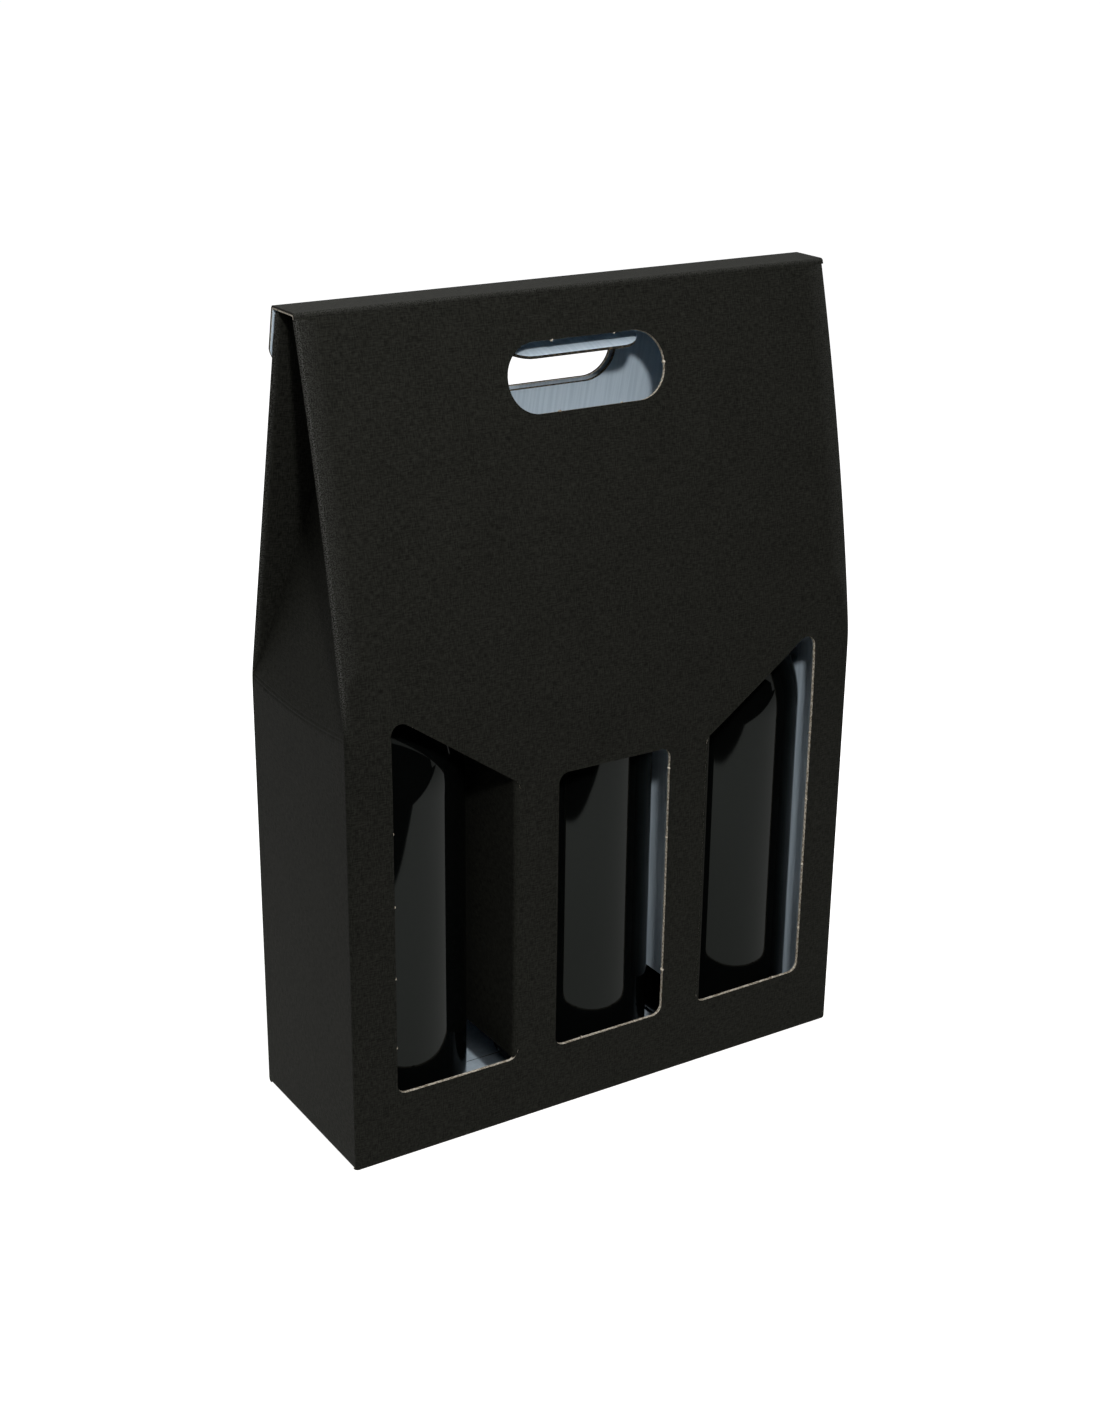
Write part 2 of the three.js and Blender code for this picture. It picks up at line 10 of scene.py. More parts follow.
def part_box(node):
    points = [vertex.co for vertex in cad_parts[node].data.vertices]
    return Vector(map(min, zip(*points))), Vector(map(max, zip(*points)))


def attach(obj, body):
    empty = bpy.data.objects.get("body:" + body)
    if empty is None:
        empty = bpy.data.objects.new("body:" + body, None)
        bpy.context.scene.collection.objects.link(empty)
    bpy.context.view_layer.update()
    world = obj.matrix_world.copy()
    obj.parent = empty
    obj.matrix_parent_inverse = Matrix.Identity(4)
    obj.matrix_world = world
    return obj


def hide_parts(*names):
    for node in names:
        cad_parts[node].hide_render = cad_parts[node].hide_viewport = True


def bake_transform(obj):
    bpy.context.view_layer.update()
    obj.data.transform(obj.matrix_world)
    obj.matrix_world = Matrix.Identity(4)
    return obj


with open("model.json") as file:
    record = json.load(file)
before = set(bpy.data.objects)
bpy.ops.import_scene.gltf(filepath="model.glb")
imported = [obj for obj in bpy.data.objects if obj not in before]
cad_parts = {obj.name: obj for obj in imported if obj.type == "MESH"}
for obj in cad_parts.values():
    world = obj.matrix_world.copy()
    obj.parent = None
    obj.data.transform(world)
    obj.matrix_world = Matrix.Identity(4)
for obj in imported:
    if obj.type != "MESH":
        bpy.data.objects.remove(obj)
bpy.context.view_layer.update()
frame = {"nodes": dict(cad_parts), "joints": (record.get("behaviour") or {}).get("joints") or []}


# Black linen board: the outside of the carton, a liner printed black and embossed with a fine weave.
# The weave follows the flat sheet, so it runs on over the folds. The paler specks on the folds are partly
# rubbed ink and partly a painted highlight.
class Shade:
    """A socket of a material. Sums and products add Math nodes, and node() adds any other node."""

    def __init__(self, tree, socket=None):
        self.tree = tree
        self.socket = socket

    def node(self, kind, settings=None, inputs=None, output=0):
        """A new node: its settings are set first, then each input gets its value or link."""
        made = self.tree.nodes.new(kind)
        for key, value in (settings or {}).items():
            setattr(made, key, value)
        for key, value in (inputs or {}).items():
            if isinstance(value, Shade):
                self.tree.links.new(value.socket, made.inputs[key])
            else:
                made.inputs[key].default_value = value
        return Shade(self.tree, made.outputs[output] if made.outputs else None)

    def maths(self, operation, first, second):
        """One Math node of two values."""
        return self.node("ShaderNodeMath", {"operation": operation}, {0: first, 1: second})

    def __add__(self, other):
        return self.maths("ADD", self, other)

    def __radd__(self, other):
        return self.maths("ADD", other, self)

    def __sub__(self, other):
        return self.maths("SUBTRACT", self, other)

    def __rsub__(self, other):
        return self.maths("SUBTRACT", other, self)

    def __mul__(self, other):
        return self.maths("MULTIPLY", self, other)

    def __rmul__(self, other):
        return self.maths("MULTIPLY", other, self)

    def sheet(self):
        """Where a point lies on the flat sheet: across, up and the depth into the board."""
        return self.node("ShaderNodeAttribute", {"attribute_name": "sheet"}, None, "Vector")

    def place(self):
        """Where a point lies in the object's own frame."""
        return self.node("ShaderNodeTexCoord", None, None, "Object")

    def noise(self, stretch, detail=2.0):
        """Noise of this vector, with so many cells per metre along each direction."""
        stretched = self.node("ShaderNodeVectorMath", {"operation": "MULTIPLY"}, {0: self, 1: stretch})
        return self.node("ShaderNodeTexNoise", None, {"Vector": stretched, "Scale": 1.0, "Detail": detail})

    def step(self, low, high):
        """0 below low, 1 above high and smooth between."""
        return self.node(
            "ShaderNodeMapRange",
            {"interpolation_type": "SMOOTHSTEP"},
            {"Value": self, "From Min": low, "From Max": high},
        )

    def mix(self, first, second):
        """The first colour where this is 0 and the second where it is 1."""
        return self.node("ShaderNodeMix", {"data_type": "RGBA"}, {0: self, 6: first, 7: second}, 2)

    def bump(self, strength, distance):
        """A normal raised by this height."""
        return self.node(
            "ShaderNodeBump", None, {"Strength": strength, "Distance": distance, "Height": self}
        )


def new_material(name):
    """A material without nodes, and a Shade to add them with."""
    material = bpy.data.materials.new(name)
    material.use_nodes = True
    material.node_tree.nodes.clear()
    return material, Shade(material.node_tree)


def surface(shade, inputs):
    """Ends a material in a Principled shader with these inputs."""
    shader = shade.node("ShaderNodeBsdfPrincipled", None, inputs)
    shade.node("ShaderNodeOutputMaterial", None, {"Surface": shader})


INK_DARK = (0.0046, 0.0047, 0.0039, 1)
INK_LIGHT = (0.0188, 0.0190, 0.0158, 1)
INK_WEAR_AND_HIGHLIGHT = (0.060, 0.060, 0.056, 1)
WEFT = (330.0, 1700.0, 0.0)
WARP = (1700.0, 330.0, 0.0)
INK_PATCHES = (45.0, 45.0, 0.0)
SCUFFS = (1800.0, 1800.0, 0.0)
EMBOSS = 0.0003

black, shade = new_material("black_linen_board")
sheet = shade.sheet()
wear_and_highlight = shade.node("ShaderNodeAttribute", {"attribute_name": "wear_and_highlight"}, None, "Fac")
threads = 0.5 * sheet.noise(WEFT) + 0.5 * sheet.noise(WARP)
patches_of_ink = sheet.noise(INK_PATCHES, 3.0)
ink = (threads + 0.08 * patches_of_ink - 0.04).step(0.3, 0.7).mix(INK_DARK, INK_LIGHT)
# Paler specks on the folds: partly rubbed ink, partly a painted highlight.
wear_and_highlight_specks = wear_and_highlight * sheet.noise(SCUFFS, 1.0).step(0.42, 0.62)
surface(
    shade,
    {
        "Base Color": wear_and_highlight_specks.mix(ink, INK_WEAR_AND_HIGHLIGHT),
        "Roughness": 0.56 + 0.2 * threads,
        "Specular IOR Level": 0.03,
        "Specular Tint": (1, 1, 0.78, 1),
        "Normal": threads.bump(1.0, EMBOSS),
    },
)


# White liner: the inside of the board, smooth bleached paper with a cold tint. The flutes under it show
# as faint upright streaks.
LINER = (0.60, 0.70, 0.78, 1)
LINER_STREAK = (0.52, 0.62, 0.70, 1)
FLUTES = (700.0, 25.0, 0.0)

white, shade = new_material("white_liner")
sheet = shade.sheet()
streaks = sheet.noise(FLUTES, 2.0)
surface(
    shade,
    {
        "Base Color": streaks.step(0.35, 0.65).mix(LINER, LINER_STREAK),
        "Roughness": 0.75 + 0.1 * streaks,
        "Specular IOR Level": 0.08,
    },
)


# Raw edge: where a blade went through the board. It is torn paper fibre, pale with browner specks and a
# little rough.
FIBRE_PALE = (0.60, 0.55, 0.46, 1)
FIBRE_BROWN = (0.20, 0.165, 0.12, 1)
TORN_FIBRES = (900.0, 900.0, 1500.0)
FIBRE_RELIEF = 0.0003

raw, shade = new_material("raw_board_edge")
sheet = shade.sheet()
fibres = sheet.noise(TORN_FIBRES, 3.0)
surface(
    shade,
    {
        "Base Color": fibres.step(0.38, 0.62).mix(FIBRE_BROWN, FIBRE_PALE),
        "Roughness": 0.85 + 0.1 * fibres,
        "Specular IOR Level": 0.2,
        "Normal": fibres.bump(0.4, FIBRE_RELIEF),
    },
)


# Crushed edge: where the die pressed the black face down over the cut, as on the grip tab and the back.
# Only a few brown fibres show through the black.
EDGE_BLACK = (0.020, 0.019, 0.016, 1)
CRUSHED_FIBRES = (700.0, 700.0, 1200.0)

crushed, shade = new_material("crushed_board_edge")
sheet = shade.sheet()
fibres = sheet.noise(CRUSHED_FIBRES, 3.0)
surface(
    shade,
    {
        "Base Color": fibres.step(0.45, 0.75).mix(EDGE_BLACK, FIBRE_BROWN),
        "Roughness": 0.85 + 0.1 * fibres,
        "Specular IOR Level": 0.1,
    },
)


# Front: one sheet of thin fluted board. It runs from the base over a soft shoulder to the ridge, pushed
# out a little by the bottles, and its long edges and foot turn round into the neighbouring panels. The
# three windows and the hand hole are die-cut through it.
hinges = {joint["name"]: Vector(joint["pos_m"]) for joint in frame["joints"] if "pos_m" in joint}
front_low, front_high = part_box("front_panel")
BOARD = front_high.y - front_low.y
HALF_WIDTH = front_high.x
FRONT = hinges["front_gable_spread"].y
SHOULDER = hinges["front_gable_spread"].z
RIDGE_FRONT = hinges["lid_open"].y
RIDGE = hinges["lid_open"].z
FRONT_SLOPE = math.hypot(RIDGE - SHOULDER, RIDGE_FRONT - FRONT)
FRONT_RISE = (RIDGE - SHOULDER) / FRONT_SLOPE
FRONT_LEAN = (RIDGE_FRONT - FRONT) / (RIDGE - SHOULDER)
SHOULDER_EASE = 0.005
FRONT_BOW = 0.003
BELLY = 0.0018
BELLY_FOOT = 0.03
FOLD = 0.0018
QUARTER = FOLD * math.pi / 2
EDGE = HALF_WIDTH - FOLD
FOLD_STEPS = 6
RIDGE_SEAM = 0.0025
FRONT_TOP = SHOULDER + FRONT_SLOPE - RIDGE_SEAM
GABLE_START = 0.234
WINDOW_SILL = 0.034
WINDOW_HEAD = 0.1735
WINDOW_RISE = 0.0439
WINDOW_CORNER = 0.005
WINDOW_HALF = 0.03025
WINDOW_INNER = hinges["right_divider_swing"].x
WINDOW_OUTER = WINDOW_INNER + 2 * WINDOW_HALF
CELL_SPLIT = 0.04175
HANDLE_HALF = (0.0404, 0.0152)
HANDLE_DROP = 0.0372
ARC_POINTS = 5
WINDOW_RINGS = 12
CROSSWAYS = 20
UPWAYS = 50
HANDLE_ARC = 10
HANDLE_ROUND = 0.97
HANDLE_UPWAYS = 24
HANDLE_RINGS = 16
RING_CROWDING = 1.5
BOARD_SHARP = math.radians(50)
# Spans of the paler specks on the gable edges, partly rubbed ink and partly a painted highlight.
WEAR_HIGHLIGHT_OVERLAP = 0.0006
WEAR_HIGHLIGHT_FADE = 0.0016
WEAR_HIGHLIGHT_RISE = 0.02
SMALL = 1e-5


def rolled(height, ease):
    """0 below and the height itself above, with the corner eased: half of the sum of the height and the
    root of its square plus the ease's square."""
    return (height + np.sqrt(height**2 + ease**2)) / 2


def belly(x, z):
    """How far the bottles push the front out: one less the fourth power of the distance across, rising
    from the foot by an exponential and eased to nothing at the gable."""
    across = 1 - (x / HALF_WIDTH) ** 4
    held = 1 - np.exp(-np.maximum(z, 0) / BELLY_FOOT)
    fading = np.clip((GABLE_START - z) / (GABLE_START - WINDOW_HEAD), 0, 1)
    return BELLY * across * held * fading * fading * (3 - 2 * fading)


def front_face(x, z):
    """How far back the front's outer face lies: upright, then leaning in above the eased shoulder with a
    parabola of bow, and with its belly."""
    rise = rolled(z - SHOULDER, SHOULDER_EASE)
    share = rise / (RIDGE - SHOULDER)
    return FRONT + rise * FRONT_LEAN - 4 * FRONT_BOW * share * (1 - share) - belly(x, z)


def turned_edges(a, b):
    """Across, up and inset of a point of a flat wall whose two long edges and foot turn a quarter round:
    each turn goes on by the sine of its angle and in by one less the cosine."""
    side_turn = np.clip((np.abs(a) - EDGE) / FOLD, 0, math.pi / 2)
    foot_turn = np.clip((FOLD - b) / FOLD, 0, math.pi / 2)
    across = np.sign(a) * (np.minimum(np.abs(a), EDGE) + FOLD * np.sin(side_turn))
    up = np.maximum(b, FOLD) - FOLD * np.sin(foot_turn)
    return across, up, FOLD * (2 - np.cos(side_turn) - np.cos(foot_turn))


def front_fold(a, b):
    """The front's outer face at a across and b up the flat sheet. Above the shoulder, a step up the sheet
    rises less by the lean."""
    x, up, inset = turned_edges(a, b)
    z = up - (1 - FRONT_RISE) * rolled(up - SHOULDER, SHOULDER_EASE)
    return np.stack([x, front_face(x, z) + inset, z], -1)


def rounded(corners, radius, arc, straights):
    """A closed outline with round corners. Each side is half of its first corner's arc, its straight, and
    half of the next corner's arc."""
    corners = np.array(corners)
    to_last = np.roll(corners, 1, 0) - corners
    to_next = np.roll(corners, -1, 0) - corners
    to_last /= np.linalg.norm(to_last, axis=1)[:, None]
    to_next /= np.linalg.norm(to_next, axis=1)[:, None]
    half = np.arccos((to_last * to_next).sum(1)) / 2
    middle = to_last + to_next
    middle /= np.linalg.norm(middle, axis=1)[:, None]
    centres = corners + middle * (radius / np.sin(half))[:, None]
    setback = (radius / np.tan(half))[:, None]
    share = np.linspace(0, 1, arc, endpoint=False)[:, None]

    def arc_between(i, start, end):
        """Points from one direction towards another, all a radius from the corner's centre."""
        along = start + (end - start) * share
        return centres[i] + radius * along / np.linalg.norm(along, axis=1)[:, None]

    points = []
    for i, straight in enumerate(straights):
        j = (i + 1) % len(corners)
        leaving = corners[i] + to_next[i] * setback[i]
        arriving = corners[j] + to_last[j] * setback[j]
        points.append(arc_between(i, -middle[i], (leaving - centres[i]) / radius))
        points.append(leaving + (arriving - leaving) * np.linspace(0, 1, straight, endpoint=False)[:, None])
        points.append(arc_between(j, (arriving - centres[j]) / radius, -middle[j]))
    points.append(points[0][:1])
    return np.concatenate(points)


def framed(corners, counts):
    """The border of a cell, with so many points on each side."""
    corners = np.array(corners, float)
    sides = [
        start + (end - start) * np.linspace(0, 1, count, endpoint=False)[:, None]
        for start, end, count in zip(corners, np.roll(corners, -1, 0), counts)
    ]
    return np.concatenate(sides + [corners[:1]])


def ring(outline, border, steps):
    """A patch from a cut-out's outline to the border round it, with rows crowding towards the outline."""
    share = np.linspace(0, 1, steps + 1) ** RING_CROWDING
    return outline + share[:, None, None] * (border - outline)


def grid(across, up):
    """A patch of every across value at every up value."""
    return np.stack(np.meshgrid(across, up), -1)


def outward(fold, a, b):
    """The normal of a folded sheet: the cross product of its directions across and up."""
    across = fold(a + SMALL, b) - fold(a - SMALL, b)
    up = fold(a, b + SMALL) - fold(a, b - SMALL)
    normal = np.cross(across, up)
    return normal / np.linalg.norm(normal, axis=-1, keepdims=True)


def placed(name, data):
    """A new object with this data, in the scene and at the origin."""
    made = bpy.data.objects.new(name, data)
    bpy.context.scene.collection.objects.link(made)
    return made


def board(name, patches, fold, wear_and_highlight=None, edge=raw):
    """A closed board from patches of the flat sheet: the outer face is the fold of each patch, the inner
    face lies a board's thickness under it, and walls join them along every edge of only one cell."""
    quads = []
    count = 0
    for patch in patches:
        index = count + np.arange(patch.shape[0] * patch.shape[1]).reshape(patch.shape[:2])
        cells = np.stack([index[:-1, :-1], index[:-1, 1:], index[1:, 1:], index[1:, :-1]], -1)
        across = patch[:-1, 1:] - patch[:-1, :-1]
        up = patch[1:, :-1] - patch[:-1, :-1]
        area = (across[..., 0] * up[..., 1] - across[..., 1] * up[..., 0]).sum()
        quads.append(cells.reshape(-1, 4)[:, :: 1 if area > 0 else -1])
        count += index.size
    flat = np.concatenate([patch.reshape(-1, 2) for patch in patches])
    first, same = np.unique(flat.round(7), axis=0, return_index=True, return_inverse=True)[1:]
    flat = flat[first]
    quads = same.ravel()[np.concatenate(quads)]
    total = len(flat)
    starts = quads.ravel()
    ends = np.roll(quads, -1, 1).ravel()
    rim = ~np.isin(starts * total + ends, ends * total + starts)
    walls = np.stack([ends[rim], starts[rim], starts[rim] + total, ends[rim] + total], -1)
    faces = np.concatenate([quads, quads[:, ::-1] + total, walls])
    outer = fold(flat[:, 0], flat[:, 1])
    inner = outer - BOARD * outward(fold, flat[:, 0], flat[:, 1])
    # How much paler each point is on the folds: partly rubbed ink, partly a painted highlight.
    wear_and_highlight_values = np.zeros(total) if wear_and_highlight is None else wear_and_highlight(flat[:, 0], flat[:, 1])
    depth = np.zeros((total, 1))
    places = np.concatenate([np.hstack([flat, depth]), np.hstack([flat, depth + BOARD])])

    mesh = bpy.data.meshes.new(name)
    mesh.from_pydata(np.concatenate([outer, inner]).tolist(), [], faces.tolist())
    finishes = np.repeat([0, 1, 2], [len(quads), len(quads), len(walls)])
    mesh.polygons.foreach_set("material_index", finishes.astype(np.int32))
    mesh.polygons.foreach_set("use_smooth", np.ones(len(faces), bool))
    sheet_places = mesh.attributes.new("sheet", "FLOAT_VECTOR", "POINT")
    sheet_places.data.foreach_set("vector", places.ravel().astype(np.float32))
    wear_and_highlight_places = mesh.attributes.new("wear_and_highlight", "FLOAT", "POINT")
    wear_and_highlight_places.data.foreach_set("value", np.tile(wear_and_highlight_values, 2).astype(np.float32))
    for material in (black, white, edge):
        mesh.materials.append(material)
    mesh.set_sharp_from_angle(angle=BOARD_SHARP)
    made = placed(name, mesh)
    return made


def wall_borders(foot_columns, levels):
    """The turned foot under the columns of a wall, and its two turned edges beside all its levels."""
    foot = np.linspace(FOLD - QUARTER, FOLD, FOLD_STEPS + 1)
    turn = np.linspace(EDGE, EDGE + QUARTER, FOLD_STEPS + 1)
    all_levels = np.concatenate([foot[:-1], levels])
    return [grid(foot_columns, foot), grid(turn, all_levels), grid(-turn[::-1], all_levels)]


side_counts = [2 * ARC_POINTS + CROSSWAYS, 2 * ARC_POINTS + UPWAYS] * 2
straights = [CROSSWAYS, UPWAYS] * 2
patches = []
for side in (-1, 1):
    inner = side * (WINDOW_INNER - RIDGE_SEAM)
    outer = side * WINDOW_OUTER
    peak = WINDOW_HEAD + WINDOW_RISE
    corners = [(inner, WINDOW_SILL), (outer, WINDOW_SILL), (outer, peak), (inner, WINDOW_HEAD)]
    split = side * CELL_SPLIT
    cell = [(split, FOLD), (side * EDGE, FOLD), (side * EDGE, GABLE_START), (split, GABLE_START)]
    outline = rounded(corners, WINDOW_CORNER, ARC_POINTS, straights)
    patches.append(ring(outline, framed(cell, side_counts), WINDOW_RINGS))
corners = [(-WINDOW_HALF, WINDOW_SILL), (WINDOW_HALF, WINDOW_SILL)]
corners += [(WINDOW_HALF, WINDOW_HEAD), (-WINDOW_HALF, WINDOW_HEAD)]
cell = [(-CELL_SPLIT, FOLD), (CELL_SPLIT, FOLD), (CELL_SPLIT, GABLE_START), (-CELL_SPLIT, GABLE_START)]
outline = rounded(corners, WINDOW_CORNER, ARC_POINTS, straights)
patches.append(ring(outline, framed(cell, side_counts), WINDOW_RINGS))

handle_centre = SHOULDER + FRONT_SLOPE - HANDLE_DROP
across_points = 3 * side_counts[0]
split_columns = [-EDGE, -CELL_SPLIT, CELL_SPLIT, EDGE]
thirds = [np.linspace(a, b, side_counts[0], endpoint=False) for a, b in zip(split_columns, split_columns[1:])]
columns = np.concatenate(thirds + [[EDGE]])
gable_levels = np.linspace(GABLE_START, FRONT_TOP, 2 * HANDLE_ARC + HANDLE_UPWAYS + 1)


def slot_outline(half_width, half_height, centre, across, up):
    """The outline of a long hole with round ends, with so many steps on each side across and up."""
    corners = [
        (-half_width, centre - half_height),
        (half_width, centre - half_height),
        (half_width, centre + half_height),
        (-half_width, centre + half_height),
    ]
    straights = [across - 2 * HANDLE_ARC, up - 2 * HANDLE_ARC] * 2
    return rounded(corners, half_height * HANDLE_ROUND, HANDLE_ARC, straights)


def slot_ring(half_width, half_height, centre, columns, levels, steps):
    """A patch round a long hole, out to a border through these columns and levels."""
    outline = slot_outline(half_width, half_height, centre, len(columns) - 1, len(levels) - 1)
    low = np.stack([columns, np.full(len(columns), levels[0])], -1)
    high = np.stack([columns, np.full(len(columns), levels[-1])], -1)
    left = np.stack([np.full(len(levels), columns[0]), levels], -1)
    right = np.stack([np.full(len(levels), columns[-1]), levels], -1)
    border = np.concatenate([low[:-1], right[:-1], high[:0:-1], left[::-1]])
    return ring(outline, border, steps)


patches.append(slot_ring(*HANDLE_HALF, handle_centre, columns, gable_levels, HANDLE_RINGS))
lower_levels = np.linspace(FOLD, GABLE_START, side_counts[1] + 1)
patches += wall_borders(columns, np.concatenate([lower_levels[:-1], gable_levels]))


# Paler ink on the gable's turned edges: partly rubbed ink, partly a painted highlight.
def edge_wear_and_highlight(a, b):
    """1 on the turned edges of a gable panel, fading away from them, and 0 below the shoulder."""
    near = np.clip((np.abs(a) - EDGE + WEAR_HIGHLIGHT_OVERLAP) / WEAR_HIGHLIGHT_FADE, 0, 1)
    return near * np.clip((b - SHOULDER) / WEAR_HIGHLIGHT_RISE, 0, 1)


front = board("front_sheet", patches, front_fold, edge_wear_and_highlight)
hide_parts("front_panel", "front_gable_panel")
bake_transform(front)


# Nicks: the small bridges that held the cut-outs in the sheet, torn through when they were pushed out.
# Each is left as a pale tuft of fibre on the rim.
NICK_LEVELS = np.array([0.058, 0.093, 0.128, 0.163])
NICK_SIZE = 0.0005
NICK_SPREAD = 0.0005
NICKS_ON_HANDLE = np.array([(-0.4, 1), (0.4, 1), (0.4, -1), (-0.4, -1), (1, 0)])
ball = bmesh.new()
bmesh.ops.create_icosphere(ball, subdivisions=2, radius=1)
tuft = bpy.data.meshes.new("tuft")
ball.to_mesh(tuft)
ball.free()
tuft_points = np.zeros((len(tuft.vertices), 3), np.float32)
tuft.vertices.foreach_get("co", tuft_points.ravel())
tuft_faces = np.zeros((len(tuft.polygons), 3), np.int32)
tuft.loops.foreach_get("vertex_index", tuft_faces.ravel())
bpy.data.meshes.remove(tuft)


def nicks(name, across, up, body):
    """Tufts in the middle of the front board's thickness at these places of its flat sheet, each a ball
    stretched by its own random sizes."""
    middle = front_fold(across, up) - BOARD / 2 * outward(front_fold, across, up)
    sizes = NICK_SIZE + NICK_SPREAD * np.random.default_rng(len(across)).random((len(across), 1, 3))
    points = middle[:, None, :] + sizes * tuft_points
    faces = tuft_faces + len(tuft_points) * np.arange(len(across))[:, None, None]
    places = np.stack([across, up, 0 * up], -1)[:, None, :] + sizes * tuft_points
    mesh = bpy.data.meshes.new(name)
    mesh.from_pydata(points.reshape(-1, 3).tolist(), [], faces.reshape(-1, 3).tolist())
    sheet_places = mesh.attributes.new("sheet", "FLOAT_VECTOR", "POINT")
    sheet_places.data.foreach_set("vector", places.ravel().astype(np.float32))
    mesh.materials.append(raw)
    made = placed(name, mesh)
    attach(made, body)


rims = [-WINDOW_OUTER, WINDOW_HALF, WINDOW_OUTER]
window_middles = np.array([-1, 0, 1]) * (WINDOW_INNER + WINDOW_OUTER) / 2
sill_places = (window_middles[:, None] + np.array([-WINDOW_HALF, WINDOW_HALF]) / 2).ravel()
across = np.concatenate([np.repeat(rims, len(NICK_LEVELS)), sill_places])
up = np.concatenate([np.tile(NICK_LEVELS, len(rims)), np.full(len(sill_places), WINDOW_SILL)])
nicks("window_nicks", across, up, "carton")
across, up = (NICKS_ON_HANDLE * HANDLE_HALF + (0, handle_centre)).T
nicks("handle_nicks", across, up, "front_gable")


# Back: the same sheet on the far side. It leans in behind the closing flap, ends in a cut edge below the
# ridge, and has its own hand hole.
BACK = hinges["back_gable_spread"].y
RIDGE_BACK = hinges["closing_flap_swing"].y
FLAP_GAP = 0.0008
BACK_EDGE_DROP = 0.012
BACK_HOLE_HALF = (0.0375, 0.0145)
back_top = RIDGE_BACK - (BOARD + FLAP_GAP) * FRONT_SLOPE / (RIDGE - SHOULDER)
BACK_SLOPE = math.hypot(RIDGE - SHOULDER, BACK - back_top)
BACK_RISE = (RIDGE - SHOULDER) / BACK_SLOPE
BACK_LEAN = (BACK - back_top) / (RIDGE - SHOULDER)
BACK_EASE = 0.003
BACK_ROWS = 60
BACK_RINGS = 12


def back_face(z):
    """How far back the back's outer face lies: upright, then leaning in above the eased shoulder."""
    return BACK - rolled(z - SHOULDER, BACK_EASE) * BACK_LEAN


def back_fold(a, b):
    """The back's outer face at a across, towards the left, and b up the flat sheet."""
    across, up, inset = turned_edges(a, b)
    z = up - (1 - BACK_RISE) * rolled(up - SHOULDER, BACK_EASE)
    return np.stack([-across, back_face(z) - inset, z], -1)


back_levels = np.linspace(FOLD, GABLE_START, BACK_ROWS)
hole_centre = SHOULDER + BACK_SLOPE - HANDLE_DROP
end_levels = np.linspace(GABLE_START, SHOULDER + BACK_SLOPE - BACK_EDGE_DROP, len(gable_levels))
patches = [grid(columns, back_levels)]
patches.append(slot_ring(*BACK_HOLE_HALF, hole_centre, columns, end_levels, BACK_RINGS))
patches += wall_borders(columns, np.concatenate([back_levels[:-1], end_levels]))
back = board("back_sheet", patches, back_fold, edge_wear_and_highlight, crushed)
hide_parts("back_panel", "back_gable_panel")
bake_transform(back)


# Sides: each is upright to the shoulder, where a double score lets the gusset web above it lean in. The
# score sags a little in the middle.
DEPTH_HALF = BACK
SIDE_HALF = DEPTH_HALF - FOLD
WEB_HEIGHT = FRONT_SLOPE
SCORE_SAG = 0.003
SCORE_REACH = 0.03
SCORE_OFFSET = 0.0010
SCORE_WIDTH = 0.0005
SCORE_DEPTH = 0.0003
SCORE_EASE = 0.0015
WEB_END = 0.166
LAYER_GAP = 0.0003
LAYERS = 2 * BOARD + LAYER_GAP
LAYERS_REACH = 0.012
SCORE_ZONE = 0.012
LOW_ROWS = 24
SCORE_ROWS = 81
WEB_ROWS = 30
SIDE_COLUMNS = 33
front_angle = math.atan(FRONT_LEAN)
web_along = (WEB_HEIGHT - DEPTH_HALF * math.sin(front_angle)) / (WEB_HEIGHT * math.cos(front_angle))
WEB_TILT = math.acos(web_along)


def valley(end, past):
    """How far from the middle the web's front edge, -1, or back edge, 1, lies at a distance past the score.
    It narrows evenly to the tip, and low down it stays clear of the two boards folded behind it."""
    z = SHOULDER + past * math.cos(WEB_TILT)
    face = -front_face(HALF_WIDTH + 0 * z, z) if end < 0 else back_face(z)
    layers = FOLD + (LAYERS - FOLD) * np.clip(past / LAYERS_REACH, 0, 1)
    even = np.where(past > 0, DEPTH_HALF * (1 - past / WEB_HEIGHT), DEPTH_HALF)
    return np.minimum(even, np.where(past > 0, face, DEPTH_HALF) - layers)


def side_fold(side):
    """The fold of the left side, -1, or the right side, 1."""

    def fold(a, b):
        """The outer face at a across and b up: upright, then leaning in above the sagging score, which is
        two shallow grooves."""
        foot_turn = np.clip((FOLD - b) / FOLD, 0, math.pi / 2)
        up = np.maximum(b, FOLD) - FOLD * np.sin(foot_turn)
        fading = np.exp(-(((up - SHOULDER) / SCORE_REACH) ** 2))
        past = up - SHOULDER + SCORE_SAG * (1 - (a / SIDE_HALF) ** 2) * fading
        rise = rolled(past, SCORE_EASE)
        grooves = np.exp(-(((np.abs(past) - SCORE_OFFSET) / SCORE_WIDTH) ** 2))
        inset = FOLD * (1 - np.cos(foot_turn)) + SCORE_DEPTH * grooves
        x = HALF_WIDTH - inset - rise * math.sin(WEB_TILT)
        return np.stack([side * x, side * a, up - (1 - math.cos(WEB_TILT)) * rise], -1)

    return fold


